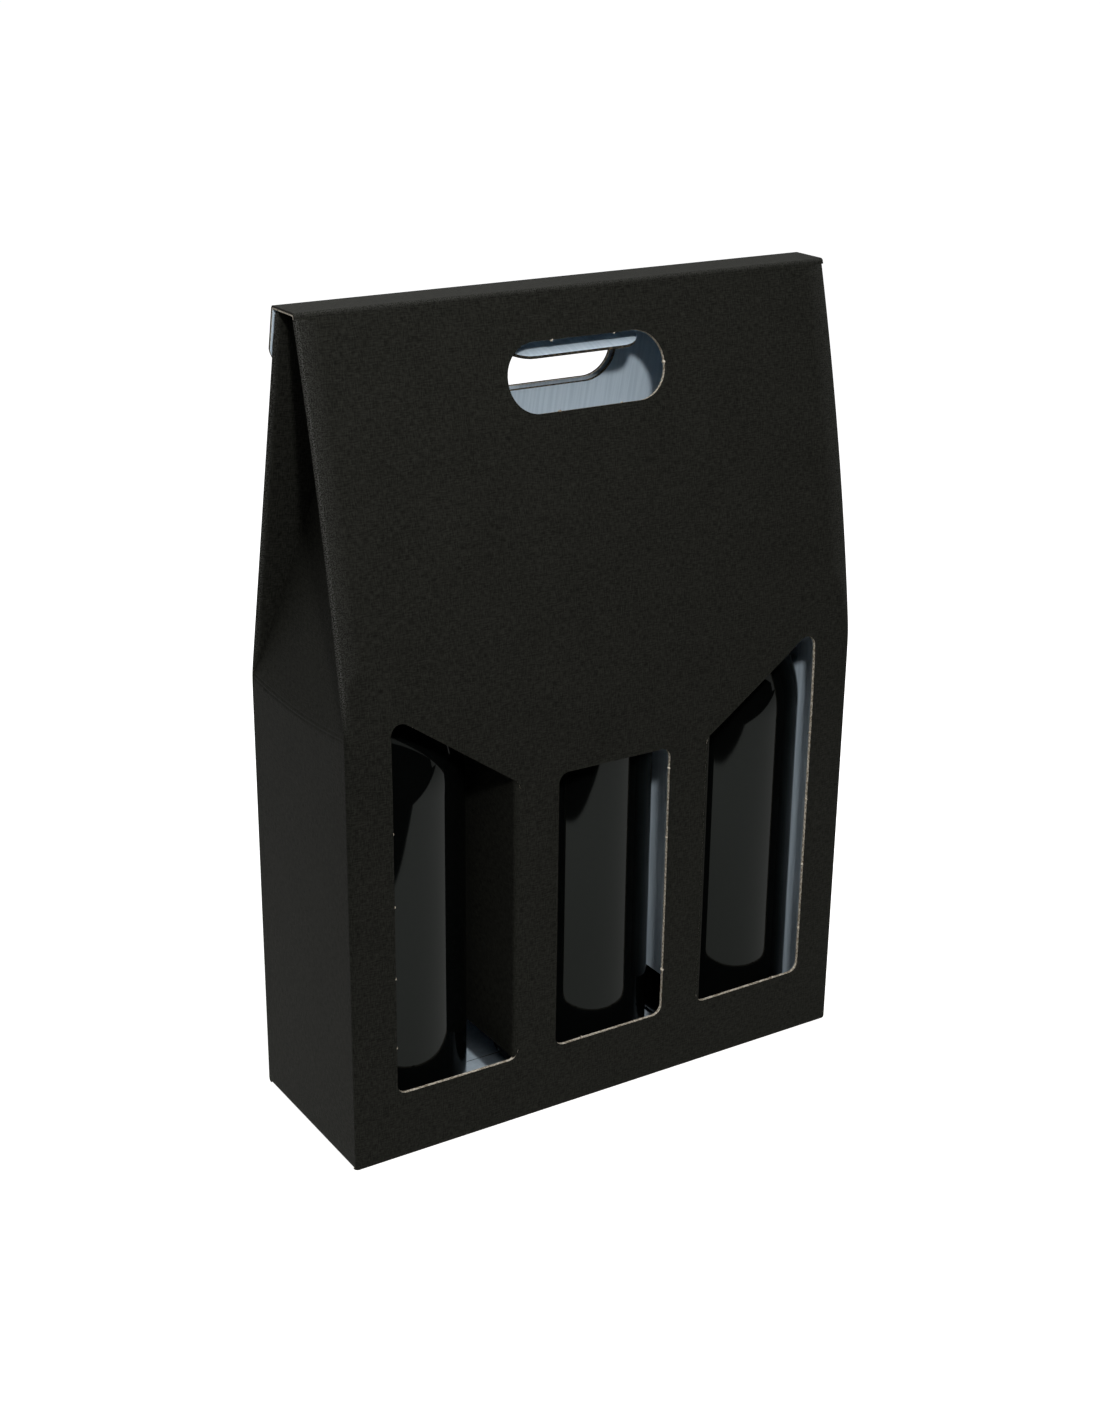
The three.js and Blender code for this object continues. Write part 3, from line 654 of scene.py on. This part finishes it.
low_rows = np.linspace(FOLD - SHOULDER, -SCORE_ZONE, LOW_ROWS)
score_rows = np.linspace(-SCORE_ZONE, SCORE_ZONE, SCORE_ROWS)
web_rows = np.linspace(SCORE_ZONE, WEB_END, WEB_ROWS)
past_score = np.concatenate([low_rows[:-1], score_rows[:-1], web_rows])[:, None]
shares = np.linspace(-1, 1, SIDE_COLUMNS)
sag = SCORE_SAG * (1 - shares**2) * np.exp(-((past_score / SCORE_REACH) ** 2))
levels = SHOULDER + past_score - sag
foot = np.linspace(FOLD - QUARTER, FOLD, FOLD_STEPS + 1)[:-1, None] + 0 * shares
levels = np.concatenate([foot, levels])
for side, word in ((-1, "left"), (1, "right")):
    half = np.where(side * shares < 0, valley(-1, levels - SHOULDER), valley(1, levels - SHOULDER))
    made = board(word + "_side_sheet", [np.stack([shares * half, levels], -1)], side_fold(side))
    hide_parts(word + "_side_panel", word + "_gusset_web")
    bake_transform(made)


# Flanks: the four folded triangles between the leaning edges and the webs. Each turns round sharply from
# the edge of its gable panel, lies close behind it and meets the web in a valley.
FLANK_START = 0.003
FLANK_CLEARANCE = 0.0008
FLANK_TOP = RIDGE - BOARD - FLANK_CLEARANCE
TURN_TIGHTNESS = 1.5
FLANK_TUCK = 0.0006
FLANK_WEAR_HIGHLIGHT = 0.002
FLANK_COLUMNS = 30
FLANK_CROWDING = 1.8
FLANK_ROWS = 40


def flank_fold(side, end):
    """The fold of the flank on the left, -1, or right, 1, and at the front, -1, or back, 1."""

    def fold(a, b):
        """The outer face at a across and b up its leaning edge: straight from the turned edge to the
        valley, standing off from it by a fold's radius that builds up at once and fades to the valley. It
        ends a little way inside the web's board."""
        width = DEPTH_HALF * b / WEB_HEIGHT
        share = -side * end * a / width
        z = SHOULDER + b * (FRONT_RISE if end < 0 else BACK_RISE)
        face = front_face(HALF_WIDTH + 0 * z, z) + FOLD if end < 0 else back_face(z) - FOLD
        edge = np.stack([side * HALF_WIDTH + 0 * z, face, z], -1)
        valley_x = side * (HALF_WIDTH - b * math.sin(WEB_TILT))
        bottom = np.stack([valley_x, end * valley(end, b), SHOULDER + b * math.cos(WEB_TILT)], -1)
        down = bottom - edge
        bottom = bottom + FLANK_TUCK * down / np.linalg.norm(down, axis=-1, keepdims=True)
        standing = FOLD * (1 - np.exp(-TURN_TIGHTNESS * share * width / FOLD)) * (1 - share)
        lifted = np.stack([0 * z, -end * standing, 0 * z], -1)
        return edge + (bottom - edge) * share[..., None] + lifted

    return fold


# Paler ink on the flank's turned edge: partly rubbed ink, partly a painted highlight.
def flank_wear_and_highlight(a, b):
    """1 on the turned edge of a flank, fading away from it and towards the shoulder."""
    return np.clip(1 - np.abs(a) / FLANK_WEAR_HIGHLIGHT, 0, 1) * np.clip(b / WEAR_HIGHLIGHT_RISE, 0, 1)


turn_shares = np.linspace(0, 1, FLANK_COLUMNS) ** FLANK_CROWDING
for side, word in ((-1, "left"), (1, "right")):
    for end, gable, rise in ((-1, "front", FRONT_RISE), (1, "back", BACK_RISE)):
        ups = np.linspace(FLANK_START, (FLANK_TOP - SHOULDER) / rise, FLANK_ROWS)[:, None]
        across = -side * end * turn_shares * DEPTH_HALF * ups / WEB_HEIGHT
        patch = np.stack([across, ups + 0 * across], -1)
        name = word + "_" + gable + "_flank"
        made = board(name + "_sheet", [patch], flank_fold(side, end), flank_wear_and_highlight, black)
        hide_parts(name)
        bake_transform(made)


# Pressed edge: the cut ends of the ridge and of the closing flap. The outer half is black, pressed down
# from the face, and the inner half is pale torn fibre.
pressed, shade = new_material("pressed_board_edge")
sheet = shade.sheet()
fibres = sheet.noise(TORN_FIBRES, 3.0)
under_face = shade.node("ShaderNodeSeparateXYZ", None, {0: sheet}, 2).step(0.5 * BOARD, 0.7 * BOARD)
surface(
    shade,
    {
        "Base Color": under_face.mix(EDGE_BLACK, fibres.step(0.3, 0.6).mix(FIBRE_BROWN, FIBRE_PALE)),
        "Roughness": 0.85 + 0.1 * fibres,
        "Specular IOR Level": 0.1,
    },
)


# Ridge: the narrow flat top, one sheet with the front. It turns over the front crease and its two ends
# are cut square.
bow_slope = 4 * FRONT_BOW / (RIDGE - SHOULDER)
front_arrival = Vector((FRONT_LEAN + bow_slope, 1)).normalized()
CREASE = 0.0018
CREASE_WEAR_HIGHLIGHT = 0.0022
CREASE_WEAR_AND_HIGHLIGHT = 0.6
RIDGE_ROWS = 8


def creased(distance, corner, arriving, leaving, radius):
    """A path over one crease: straight up to it, a round turn of the radius, and straight on. Distances
    are measured from the crease's corner."""
    turn = math.acos(arriving @ leaving)
    reach = radius * math.tan(turn / 2)
    angle = np.clip((distance + reach) / (2 * reach), 0, 1) * turn
    square = leaving - arriving * math.cos(turn)
    square = square / np.linalg.norm(square)
    before = np.minimum(distance + reach, 0)[..., None] * arriving
    after = np.maximum(distance - reach, 0)[..., None] * leaving
    round_turn = np.sin(angle)[..., None] * arriving + (1 - np.cos(angle))[..., None] * square
    return corner - reach * arriving + before + radius * round_turn + after


def ridge_fold(a, b):
    """The ridge's outer face at a across and b back from its front crease."""
    front_crease = np.array([RIDGE_FRONT, RIDGE])
    path = creased(b, front_crease, np.array(front_arrival), np.array([1.0, 0.0]), CREASE)
    return np.stack([a + 0 * b, path[..., 0], path[..., 1]], -1)


def crease_wear_and_highlight(a, b):
    """A weaker paling than on the edges, partly rubbed ink and partly a painted highlight: strongest on a
    crease and fading away from it.
    """
    return np.clip(1 - np.abs(b) / CREASE_WEAR_HIGHLIGHT, 0, 1) * CREASE_WEAR_AND_HIGHLIGHT


ridge_columns = np.concatenate([[-HALF_WIDTH], columns[1:-1], [HALF_WIDTH]])
over = np.linspace(-RIDGE_SEAM, RIDGE_SEAM, 2 * FOLD_STEPS + 1)
ridge_width = RIDGE_BACK - RIDGE_FRONT
ridge_rows = np.concatenate([over[:-1], np.linspace(RIDGE_SEAM, ridge_width - RIDGE_SEAM, RIDGE_ROWS)])
ridge = board("ridge_sheet", [grid(ridge_columns, ridge_rows)], ridge_fold, crease_wear_and_highlight, pressed)
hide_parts("ridge_panel")
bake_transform(ridge)


# Closing flap: runs on from the ridge over the back crease and hangs outside the back. Its sides taper,
# its lower corners are round, and it has a smaller hole over the back's.
FLAP_LENGTH = 0.082
FLAP_STRAIGHT = 0.020
FLAP_TAPER = 0.024
FLAP_CORNER = 0.014
FLAP_LEAN = 0.005
FLAP_HOLE_HALF = (0.036, 0.0128)
FLAP_RING_START = 0.005
FLAP_TOP_ROWS = 4
FLAP_RINGS = 14
FLAP_CORNER_POINTS = 9


def flap_fold(a, b):
    """The flap's outer face at a across and b past the back crease, downwards."""
    back_crease = np.array([RIDGE_BACK, RIDGE])
    leaving = np.array([BACK_LEAN, -1.0]) * BACK_RISE
    path = creased(b, back_crease, np.array([1.0, 0.0]), leaving, CREASE)
    return np.stack([a + 0 * b, path[..., 0], path[..., 1]], -1)


def walked(points, count):
    """So many evenly spaced points along a run of straight stretches."""
    points = np.array(points)
    lengths = np.concatenate([[0], np.cumsum(np.linalg.norm(np.diff(points, axis=0), axis=1))])
    at = np.linspace(0, lengths[-1], count)
    return np.stack([np.interp(at, lengths, points[:, 0]), np.interp(at, lengths, points[:, 1])], -1)


taper_end = (HALF_WIDTH - FLAP_TAPER, FLAP_LENGTH - FLAP_CORNER)
corner_end = (HALF_WIDTH - FLAP_TAPER - FLAP_CORNER, FLAP_LENGTH)
corner_pull = (HALF_WIDTH - FLAP_TAPER - FLAP_LEAN, FLAP_LENGTH)
bend = np.linspace(0, 1, FLAP_CORNER_POINTS)[:, None]
pulled = 2 * bend * (1 - bend) * np.array(corner_pull)
round_corner = (1 - bend) ** 2 * taper_end + pulled + bend**2 * corner_end
right_side = np.concatenate([[(HALF_WIDTH, FLAP_RING_START), (HALF_WIDTH, FLAP_STRAIGHT)], round_corner])
upways = 2 * HANDLE_ARC + HANDLE_UPWAYS
right_border = walked(right_side, upways + 1)
low_border = walked([corner_end, (-corner_end[0], FLAP_LENGTH)], across_points + 1)
left_border = right_border[::-1] * (-1, 1)
top_border = np.stack([ridge_columns, np.full(len(ridge_columns), FLAP_RING_START)], -1)
border = np.concatenate([top_border[:-1], right_border[:-1], low_border[:-1], left_border])
outline = slot_outline(*FLAP_HOLE_HALF, HANDLE_DROP, across_points, upways)
flap_rows = np.concatenate([over[:-1], np.linspace(RIDGE_SEAM, FLAP_RING_START, FLAP_TOP_ROWS)])
patches = [grid(ridge_columns, flap_rows), ring(outline, border, FLAP_RINGS)]
flap = board("closing_flap_sheet", patches, flap_fold, crease_wear_and_highlight, pressed)
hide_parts("closing_flap")
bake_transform(flap)


# Grip tab: the tongue cut from the back hole, pushed in along the hole's top edge so that its white face
# lies up and pads the hand.
TAB_LENGTH = 0.025
TAB_DROOP = math.radians(5.689)
TAB_HALF = 0.0351
TAB_ROUND = 0.0121
TAB_CURL = 0.0035
TAB_END = 0.9995
TAB_COLUMNS = 61
TAB_ROWS = 9
tab_hinge = hinges["grip_tab_fold"]


def tab_fold(a, b):
    """The tab's lower, outer face at a across and b in from the hinge, drooping a little and curling down
    with the square of its length."""
    y = tab_hinge.y - b * math.cos(TAB_DROOP) - BOARD * math.sin(TAB_DROOP)
    curl = TAB_CURL * (b / TAB_LENGTH) ** 2
    z = tab_hinge.z - b * math.sin(TAB_DROOP) - BOARD * math.cos(TAB_DROOP) - curl
    return np.stack([a, y + 0 * a, z + 0 * a], -1)


tab_columns = TAB_HALF * TAB_END * np.sin(np.linspace(-math.pi / 2, math.pi / 2, TAB_COLUMNS))
past_straight = np.maximum(np.abs(tab_columns) - (TAB_HALF - TAB_ROUND), 0)
tab_reach = np.sqrt(TAB_ROUND**2 - past_straight**2)
tab_rows = np.linspace(-1, 1, TAB_ROWS)[:, None] * tab_reach + TAB_LENGTH / 2
patch = np.stack([tab_columns + 0 * tab_rows, tab_rows], -1)
tab = board("grip_tab_sheet", [patch], tab_fold, None, crushed)
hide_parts("grip_tab")
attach(tab, "grip_tab")


# Dividers: the flaps cut from the outer windows, each turned in round its window's inner edge and left
# standing between two bottles with its black face to the outer one.
FLAP_SLACK = 0.0008
DIVIDER_WIDTH = WINDOW_OUTER - WINDOW_INNER - FLAP_SLACK
CREASE_END = 0.004
BELLY_FADE = 0.03
CREASE_COLUMNS = 14
DIVIDER_COLUMNS = 40
DIVIDER_ROWS = 41


def divider_fold(side):
    """The fold of the left divider, -1, or the right divider, 1."""

    def fold(a, b):
        """The outer face at a past the crease, counted from the front, and b up. It follows the front's
        belly at the crease and less and less behind it."""
        crease = np.array([-WINDOW_INNER, FRONT])
        path = creased(side * a, crease, np.array([-1.0, 0.0]), np.array([0.0, 1.0]), FOLD)
        fading = np.clip(1 - (path[..., 1] - FRONT) / BELLY_FADE, 0, 1)
        pushed = belly(-path[..., 0], b) * fading
        return np.stack([-side * path[..., 0], path[..., 1] - pushed, b + 0 * a], -1)

    return fold


def corner_drop(distance):
    """How far a round corner falls back from its straight, at a distance from the outline's end: the
    radius less the height of its circle there."""
    left = WINDOW_CORNER - np.clip(distance, 0, WINDOW_CORNER)
    return WINDOW_CORNER - np.sqrt(WINDOW_CORNER**2 - left**2)


crease_columns = np.linspace(-RIDGE_SEAM, CREASE_END, CREASE_COLUMNS)
flat_columns = np.linspace(CREASE_END, DIVIDER_WIDTH, DIVIDER_COLUMNS)
divider_columns = np.concatenate([crease_columns[:-1], flat_columns])
root = divider_columns + RIDGE_SEAM
end_drop = corner_drop(DIVIDER_WIDTH - divider_columns)
slack = FLAP_SLACK * np.clip(divider_columns / CREASE_END, 0, 1)
divider_low = WINDOW_SILL + slack + np.maximum(corner_drop(root), end_drop)
slant = WINDOW_RISE / (2 * WINDOW_HALF + RIDGE_SEAM)
steepness = math.hypot(1, slant)
round_top = WINDOW_HEAD + WINDOW_CORNER * (slant - steepness + 1) - corner_drop(root)
straight_top = WINDOW_HEAD + slant * root
top = np.where(root < WINDOW_CORNER * (1 - slant / steepness), round_top, straight_top)
divider_high = top - slack - end_drop
shares = np.linspace(0, 1, DIVIDER_ROWS)[:, None]
heights = divider_low + (divider_high - divider_low) * shares
for side, word in ((-1, "left"), (1, "right")):
    patch = np.stack([side * divider_columns + 0 * heights, heights], -1)
    name = word + "_divider"
    made = board(name + "_sheet", [patch], divider_fold(side))
    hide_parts(name)
    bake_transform(made)


# Base and glued strip: the plain flaps of the same board that close the sheet, kept as the solids have
# them. Faces that look up are white, and all others are black.
MOTTLE = (300.0, 300.0, 300.0)

base_board, shade = new_material("base_board")
place = shade.place()
facing = shade.node("ShaderNodeNewGeometry", None, None, "Normal")
upward = shade.node("ShaderNodeSeparateXYZ", None, {0: facing}, 2).step(0.2, 0.6)
mottle = place.noise(MOTTLE)
liner = mottle.step(0.3, 0.7).mix(LINER, LINER_STREAK)
ink = mottle.step(0.3, 0.7).mix(INK_DARK, INK_LIGHT)
surface(
    shade,
    {
        "Base Color": upward.mix(ink, liner),
        "Roughness": 0.65 + 0.15 * mottle,
        "Specular IOR Level": 0.08,
    },
)
for node in ("bottom_front_flap", "bottom_back_flap", "bottom_left_flap", "bottom_right_flap", "glue_flap"):
    made = frame["nodes"][node]
    made.data.materials.clear()
    made.data.materials.append(base_board)


# Bottles: near-black glass, blown with a punted foot, a straight body, a round shoulder and a slim neck
# with a lip. Each stands loose in its bay.
bottle_low, bottle_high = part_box("centre_bottle")
BOTTLE_RADIUS = (bottle_high.x - bottle_low.x) / 2
BOTTLE_HEIGHT = 0.292
BODY_HEIGHT = 0.166
HEEL = 0.004
FOOT = 0.031
PUNT = 0.016
SHOULDER_RADIUS = 0.060
SHOULDER_TURN = math.radians(40)
NECK = 0.0148
NECK_TOP = 0.0134
LIP = 0.0142
LIP_HEIGHT = 0.009
LIP_DROP = 0.004
MOUTH = 0.001
BORE = 0.0095
CORK_END = 0.0443
ROUND_STEPS = 96
BOTTLE_SHARP = math.radians(40)
SHOULDER_STEPS = 24
SWEEP_STEPS = 20
PUNT_STEPS = 14
HEEL_STEPS = 8
BODY_STEPS = 12


def arc(centre, radius, start, end, steps):
    """Points of radius and height round a centre, by the cosine and sine of even angles."""
    angle = np.linspace(start, end, steps)
    return np.stack([centre[0] + radius * np.cos(angle), centre[1] + radius * np.sin(angle)], -1)


shoulder_centre = (BOTTLE_RADIUS - SHOULDER_RADIUS, BODY_HEIGHT)
shoulder = arc(shoulder_centre, SHOULDER_RADIUS, 0, SHOULDER_TURN, SHOULDER_STEPS)
sweep_radius = (shoulder[-1, 0] - NECK) / (1 - math.cos(SHOULDER_TURN))
sweep_centre = (NECK + sweep_radius, shoulder[-1, 1] + sweep_radius * math.sin(SHOULDER_TURN))
sweep = arc(sweep_centre, sweep_radius, math.pi + SHOULDER_TURN, math.pi, SWEEP_STEPS)[1:]
lip_top = BOTTLE_HEIGHT - LIP_DROP
lip_low = lip_top - LIP_HEIGHT
upper = [(NECK_TOP, lip_low), (LIP, lip_low + MOUTH / 2), (LIP, lip_top - MOUTH / 2), (NECK_TOP, lip_top)]
upper += [(NECK_TOP, BOTTLE_HEIGHT - MOUTH), (NECK_TOP - MOUTH, BOTTLE_HEIGHT), (BORE, BOTTLE_HEIGHT)]
upper += [(BORE, BOTTLE_HEIGHT - CORK_END), (SMALL, BOTTLE_HEIGHT - CORK_END)]
punt = arc((0, 0), 1, math.pi / 2, 0, PUNT_STEPS) * (FOOT, PUNT)
punt[0, 0] = SMALL
heel = arc((BOTTLE_RADIUS - HEEL, HEEL), HEEL, -math.pi / 2, 0, HEEL_STEPS)
body_heights = np.linspace(HEEL, BODY_HEIGHT, BODY_STEPS)[1:-1]
body = np.stack([np.full(len(body_heights), BOTTLE_RADIUS), body_heights], -1)
bottle_profile = np.concatenate([punt, heel, body, shoulder, sweep, upper])


def turned(name, profile, centre, floor, material, sharp):
    """A closed body turned from a profile about an upright axis: each radius goes round by the cosine and
    sine of even angles, and a flat cap closes each end."""
    around = np.linspace(0, 2 * math.pi, ROUND_STEPS, endpoint=False)
    radius = profile[:, 0, None]
    x = centre[0] + radius * np.cos(around)
    y = centre[1] + radius * np.sin(around)
    z = floor + profile[:, 1, None] + 0 * x
    points = np.stack([x, y, z], -1).reshape(-1, 3)
    index = np.arange(len(points)).reshape(x.shape)
    here = index[:-1]
    above = index[1:]
    cells = np.stack([here, np.roll(here, -1, 1), np.roll(above, -1, 1), above], -1).reshape(-1, 4)
    caps = [index[0, ::-1].tolist(), index[-1].tolist()]
    mesh = bpy.data.meshes.new(name)
    mesh.from_pydata(points.tolist(), [], cells.tolist() + caps)
    mesh.polygons.foreach_set("use_smooth", np.ones(len(mesh.polygons), bool))
    mesh.materials.append(material)
    mesh.set_sharp_from_angle(angle=sharp)
    return placed(name, mesh)


GLASS = (0.0016, 0.0019, 0.0018, 1)
GLASS_DUST = (0.0036, 0.0038, 0.0036, 1)
RIPPLES = (26.0, 26.0, 9.0)
DUST_SPECKS = (2600.0, 2600.0, 2600.0)

glass, shade = new_material("dark_glass")
place = shade.place()
ripple = place.noise(RIPPLES, 1.0)
dust = place.noise(DUST_SPECKS, 1.0).step(0.70, 0.80)
surface(
    shade,
    {
        "Base Color": dust.mix(GLASS, GLASS_DUST),
        "Roughness": 0.035 + 0.03 * ripple,
        "Specular IOR Level": 0.12,
        "Specular Tint": (0.92, 1.0, 0.92, 1),
        "IOR": 1.5,
    },
)
for word in ("left", "centre", "right"):
    node = word + "_bottle"
    low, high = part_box(node)
    centre = ((low.x + high.x) / 2, (low.y + high.y) / 2)
    made = turned(word + "_glass", bottle_profile, centre, low.z, glass, BOTTLE_SHARP)
    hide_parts(node)
    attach(made, node)


# Corks: one plain natural cork in each mouth, with chamfered ends and dark pores. It rides on its bottle
# when that is lifted.
CORK_CHAMFER = 0.001
CORK_SHARP = math.radians(30)
CORK_PALE = (0.50, 0.33, 0.18, 1)
CORK_DARK = (0.25, 0.14, 0.07, 1)
CORK_GRAIN = (420.0, 420.0, 240.0)
CORK_PORES = (900.0, 900.0, 500.0)
PORE_RELIEF = 0.0004

cork, shade = new_material("natural_cork")
place = shade.place()
grain = place.noise(CORK_GRAIN, 4.0)
pores = place.noise(CORK_PORES, 2.0).step(0.60, 0.72)
surface(
    shade,
    {
        "Base Color": (0.6 * grain + 0.7 * pores).step(0.2, 0.9).mix(CORK_PALE, CORK_DARK),
        "Roughness": 0.75 + 0.15 * grain,
        "Specular IOR Level": 0.3,
        "Normal": (grain - pores).bump(0.3, PORE_RELIEF),
    },
)
for word in ("left", "centre", "right"):
    node = word + "_cork"
    low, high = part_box(node)
    radius = (high.x - low.x) / 2
    length = high.z - low.z
    ends = [(SMALL, 0), (radius - CORK_CHAMFER, 0), (radius, CORK_CHAMFER)]
    ends += [(radius, length - CORK_CHAMFER), (radius - CORK_CHAMFER, length), (SMALL, length)]
    centre = ((low.x + high.x) / 2, (low.y + high.y) / 2)
    made = turned(word + "_stopper", np.array(ends), centre, low.z, cork, CORK_SHARP)
    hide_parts(node)
    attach(made, word + "_bottle")


# Studio: a pale floor and a white surround, the same to the eye and in reflections, with a dark cloth laid
# and hung outside the picture, beyond the front of the table. A small lamp stands by the camera, and broad
# ones above the front, overhead and behind.
FLOOR_HALF = 30.0
FLOOR_COLOUR = (0.80, 0.80, 0.79, 1)
FLOOR_FLECK = (0.78, 0.78, 0.78, 1)
FLOOR_WHITE_NEAR = (0.86, 0.86, 0.84, 1)
FLOOR_WHITE = (1, 1, 1, 1)
FLOOR_NEAR = 0.12
FLOOR_FAR = 0.33
FLOOR_FLECKS = (60.0, 60.0, 60.0)
SKY = 0.03
TABLE_EDGE = 0.338
TABLE_TURN = math.radians(-35.4)
CLOTH_DEPTH = 3.0
CLOTH_HALF = 20.0
CLOTH_HEIGHT = 2.2
CLOTH_LIFT = 0.001
CLOTH_DARK = (0.001, 0.001, 0.001, 1)
CLOTH_PALE = (0.004, 0.004, 0.004, 1)
CLOTH_WEAVE = (300.0, 300.0, 300.0)


def background_ray(shade):
    """1 for rays that show the surround: from the camera, off a gloss or through glass."""
    kinds = ("Is Camera Ray", "Is Glossy Ray", "Is Transmission Ray")
    eye, gloss, through = [shade.node("ShaderNodeLightPath", None, None, kind) for kind in kinds]
    return (eye + gloss + through).step(0.0, 1.0)


floor_finish, shade = new_material("pale_floor")
place = shade.place()
paper = place.noise(FLOOR_FLECKS, 3.0)
reach = shade.node("ShaderNodeVectorMath", {"operation": "LENGTH"}, {0: place}, "Value")
whiteness = reach.step(FLOOR_NEAR, FLOOR_FAR).mix(FLOOR_WHITE_NEAR, FLOOR_WHITE)
surface(
    shade,
    {
        "Base Color": paper.step(0.3, 0.7).mix(FLOOR_COLOUR, FLOOR_FLECK),
        "Roughness": 0.8 + 0.1 * paper,
        "Specular IOR Level": 0.0,
        "Emission Color": background_ray(shade).mix((0, 0, 0, 1), whiteness),
        "Emission Strength": 1.0,
    },
)
mesh = bpy.data.meshes.new("floor")
corners = [(-FLOOR_HALF, -FLOOR_HALF, 0), (FLOOR_HALF, -FLOOR_HALF, 0)]
corners += [(FLOOR_HALF, FLOOR_HALF, 0), (-FLOOR_HALF, FLOOR_HALF, 0)]
mesh.from_pydata(corners, [], [(0, 1, 2, 3)])
mesh.materials.append(floor_finish)
floor = placed("floor", mesh)

cloth_finish, shade = new_material("dark_cloth")
place = shade.place()
weave = place.noise(CLOTH_WEAVE, 2.0)
surface(shade, {"Base Color": weave.mix(CLOTH_DARK, CLOTH_PALE), "Specular IOR Level": 0.0})
near = Vector((math.sin(TABLE_TURN), -math.cos(TABLE_TURN), 0))
along = Vector((math.cos(TABLE_TURN), math.sin(TABLE_TURN), 0)) * CLOTH_HALF
hem = near * TABLE_EDGE + Vector((0, 0, CLOTH_LIFT))
fold = near * CLOTH_DEPTH + Vector((0, 0, CLOTH_LIFT))
top = near * CLOTH_DEPTH + Vector((0, 0, CLOTH_HEIGHT))
corners = [hem - along, hem + along, fold + along, fold - along, top + along, top - along]
mesh = bpy.data.meshes.new("dark_cloth")
mesh.from_pydata(corners, [], [(3, 2, 1, 0), (5, 4, 2, 3)])
mesh.materials.append(cloth_finish)
cloth = placed("dark_cloth", mesh)
cloth.visible_camera = False

world = bpy.data.worlds.new("studio")
bpy.context.scene.world = world
world.use_nodes = True
world.node_tree.nodes.clear()
shade = Shade(world.node_tree)
sky = shade.node("ShaderNodeBackground", None, {"Color": (1, 1, 1, 1), "Strength": SKY})
surround = shade.node("ShaderNodeBackground", None, {"Color": (1, 1, 1, 1), "Strength": 1.0})
mixed = shade.node("ShaderNodeMixShader", None, {0: background_ray(shade), 1: sky, 2: surround})
shade.node("ShaderNodeOutputWorld", None, {"Surface": mixed})


def lamp(name, azimuth, elevation, distance, size, watts, colour):
    """A square lamp aimed at the middle of the carton from an azimuth and an elevation in degrees."""
    around = math.radians(azimuth)
    up = math.radians(elevation)
    back = Vector((math.sin(around) * math.cos(up), -math.cos(around) * math.cos(up), math.sin(up)))
    data = bpy.data.lights.new(name, "AREA")
    data.size = size
    data.energy = watts
    data.color = colour
    made = placed(name, data)
    stand = Matrix.Translation(back * distance + Vector((0, 0, RIDGE / 2)))
    made.matrix_world = stand @ back.to_track_quat("Z", "Y").to_matrix().to_4x4()


WHITE_LIGHT = (1, 1, 1)
COOL_LIGHT = (0.97, 0.98, 1)
lamp("key_lamp", azimuth=-26, elevation=35.5, distance=1.1, size=0.06, watts=6.0, colour=WHITE_LIGHT)
lamp("soft_lamp", azimuth=-25, elevation=56, distance=0.95, size=0.7, watts=4.0, colour=COOL_LIGHT)
lamp("top_lamp", azimuth=0, elevation=85, distance=1.4, size=0.9, watts=5.0, colour=WHITE_LIGHT)
lamp("back_lamp", azimuth=190, elevation=45, distance=1.3, size=0.9, watts=5.0, colour=WHITE_LIGHT)


# Camera: stands to the left of the front and a little above, as in the photograph. Its place, roll and
# lens were fitted to the corners of the box.
AZIMUTH = math.radians(-32.391)
ELEVATION = math.radians(21.53)
ROLL = math.radians(0.652)
DISTANCE = 1.00435
AIM_HEIGHT = 0.190
AIM_RIGHT = -0.00422
AIM_UP = -0.008256
LENS = 54.375

back_way = Vector(
    (
        math.sin(AZIMUTH) * math.cos(ELEVATION),
        -math.cos(AZIMUTH) * math.cos(ELEVATION),
        math.sin(ELEVATION),
    )
)
level_right = Vector((math.cos(AZIMUTH), math.sin(AZIMUTH), 0))
level_up = back_way.cross(level_right)
right_way = level_right * math.cos(ROLL) + level_up * math.sin(ROLL)
up_way = level_up * math.cos(ROLL) - level_right * math.sin(ROLL)
eye = Vector((0, 0, AIM_HEIGHT)) + right_way * AIM_RIGHT + up_way * AIM_UP + back_way * DISTANCE
data = bpy.data.cameras.new("camera")
data.lens = LENS
camera = placed("camera", data)
turn = Matrix((right_way, up_way, back_way)).transposed().to_4x4()
camera.matrix_world = Matrix.Translation(eye) @ turn
bpy.context.scene.camera = camera
bpy.context.scene.view_settings.view_transform = "Standard"
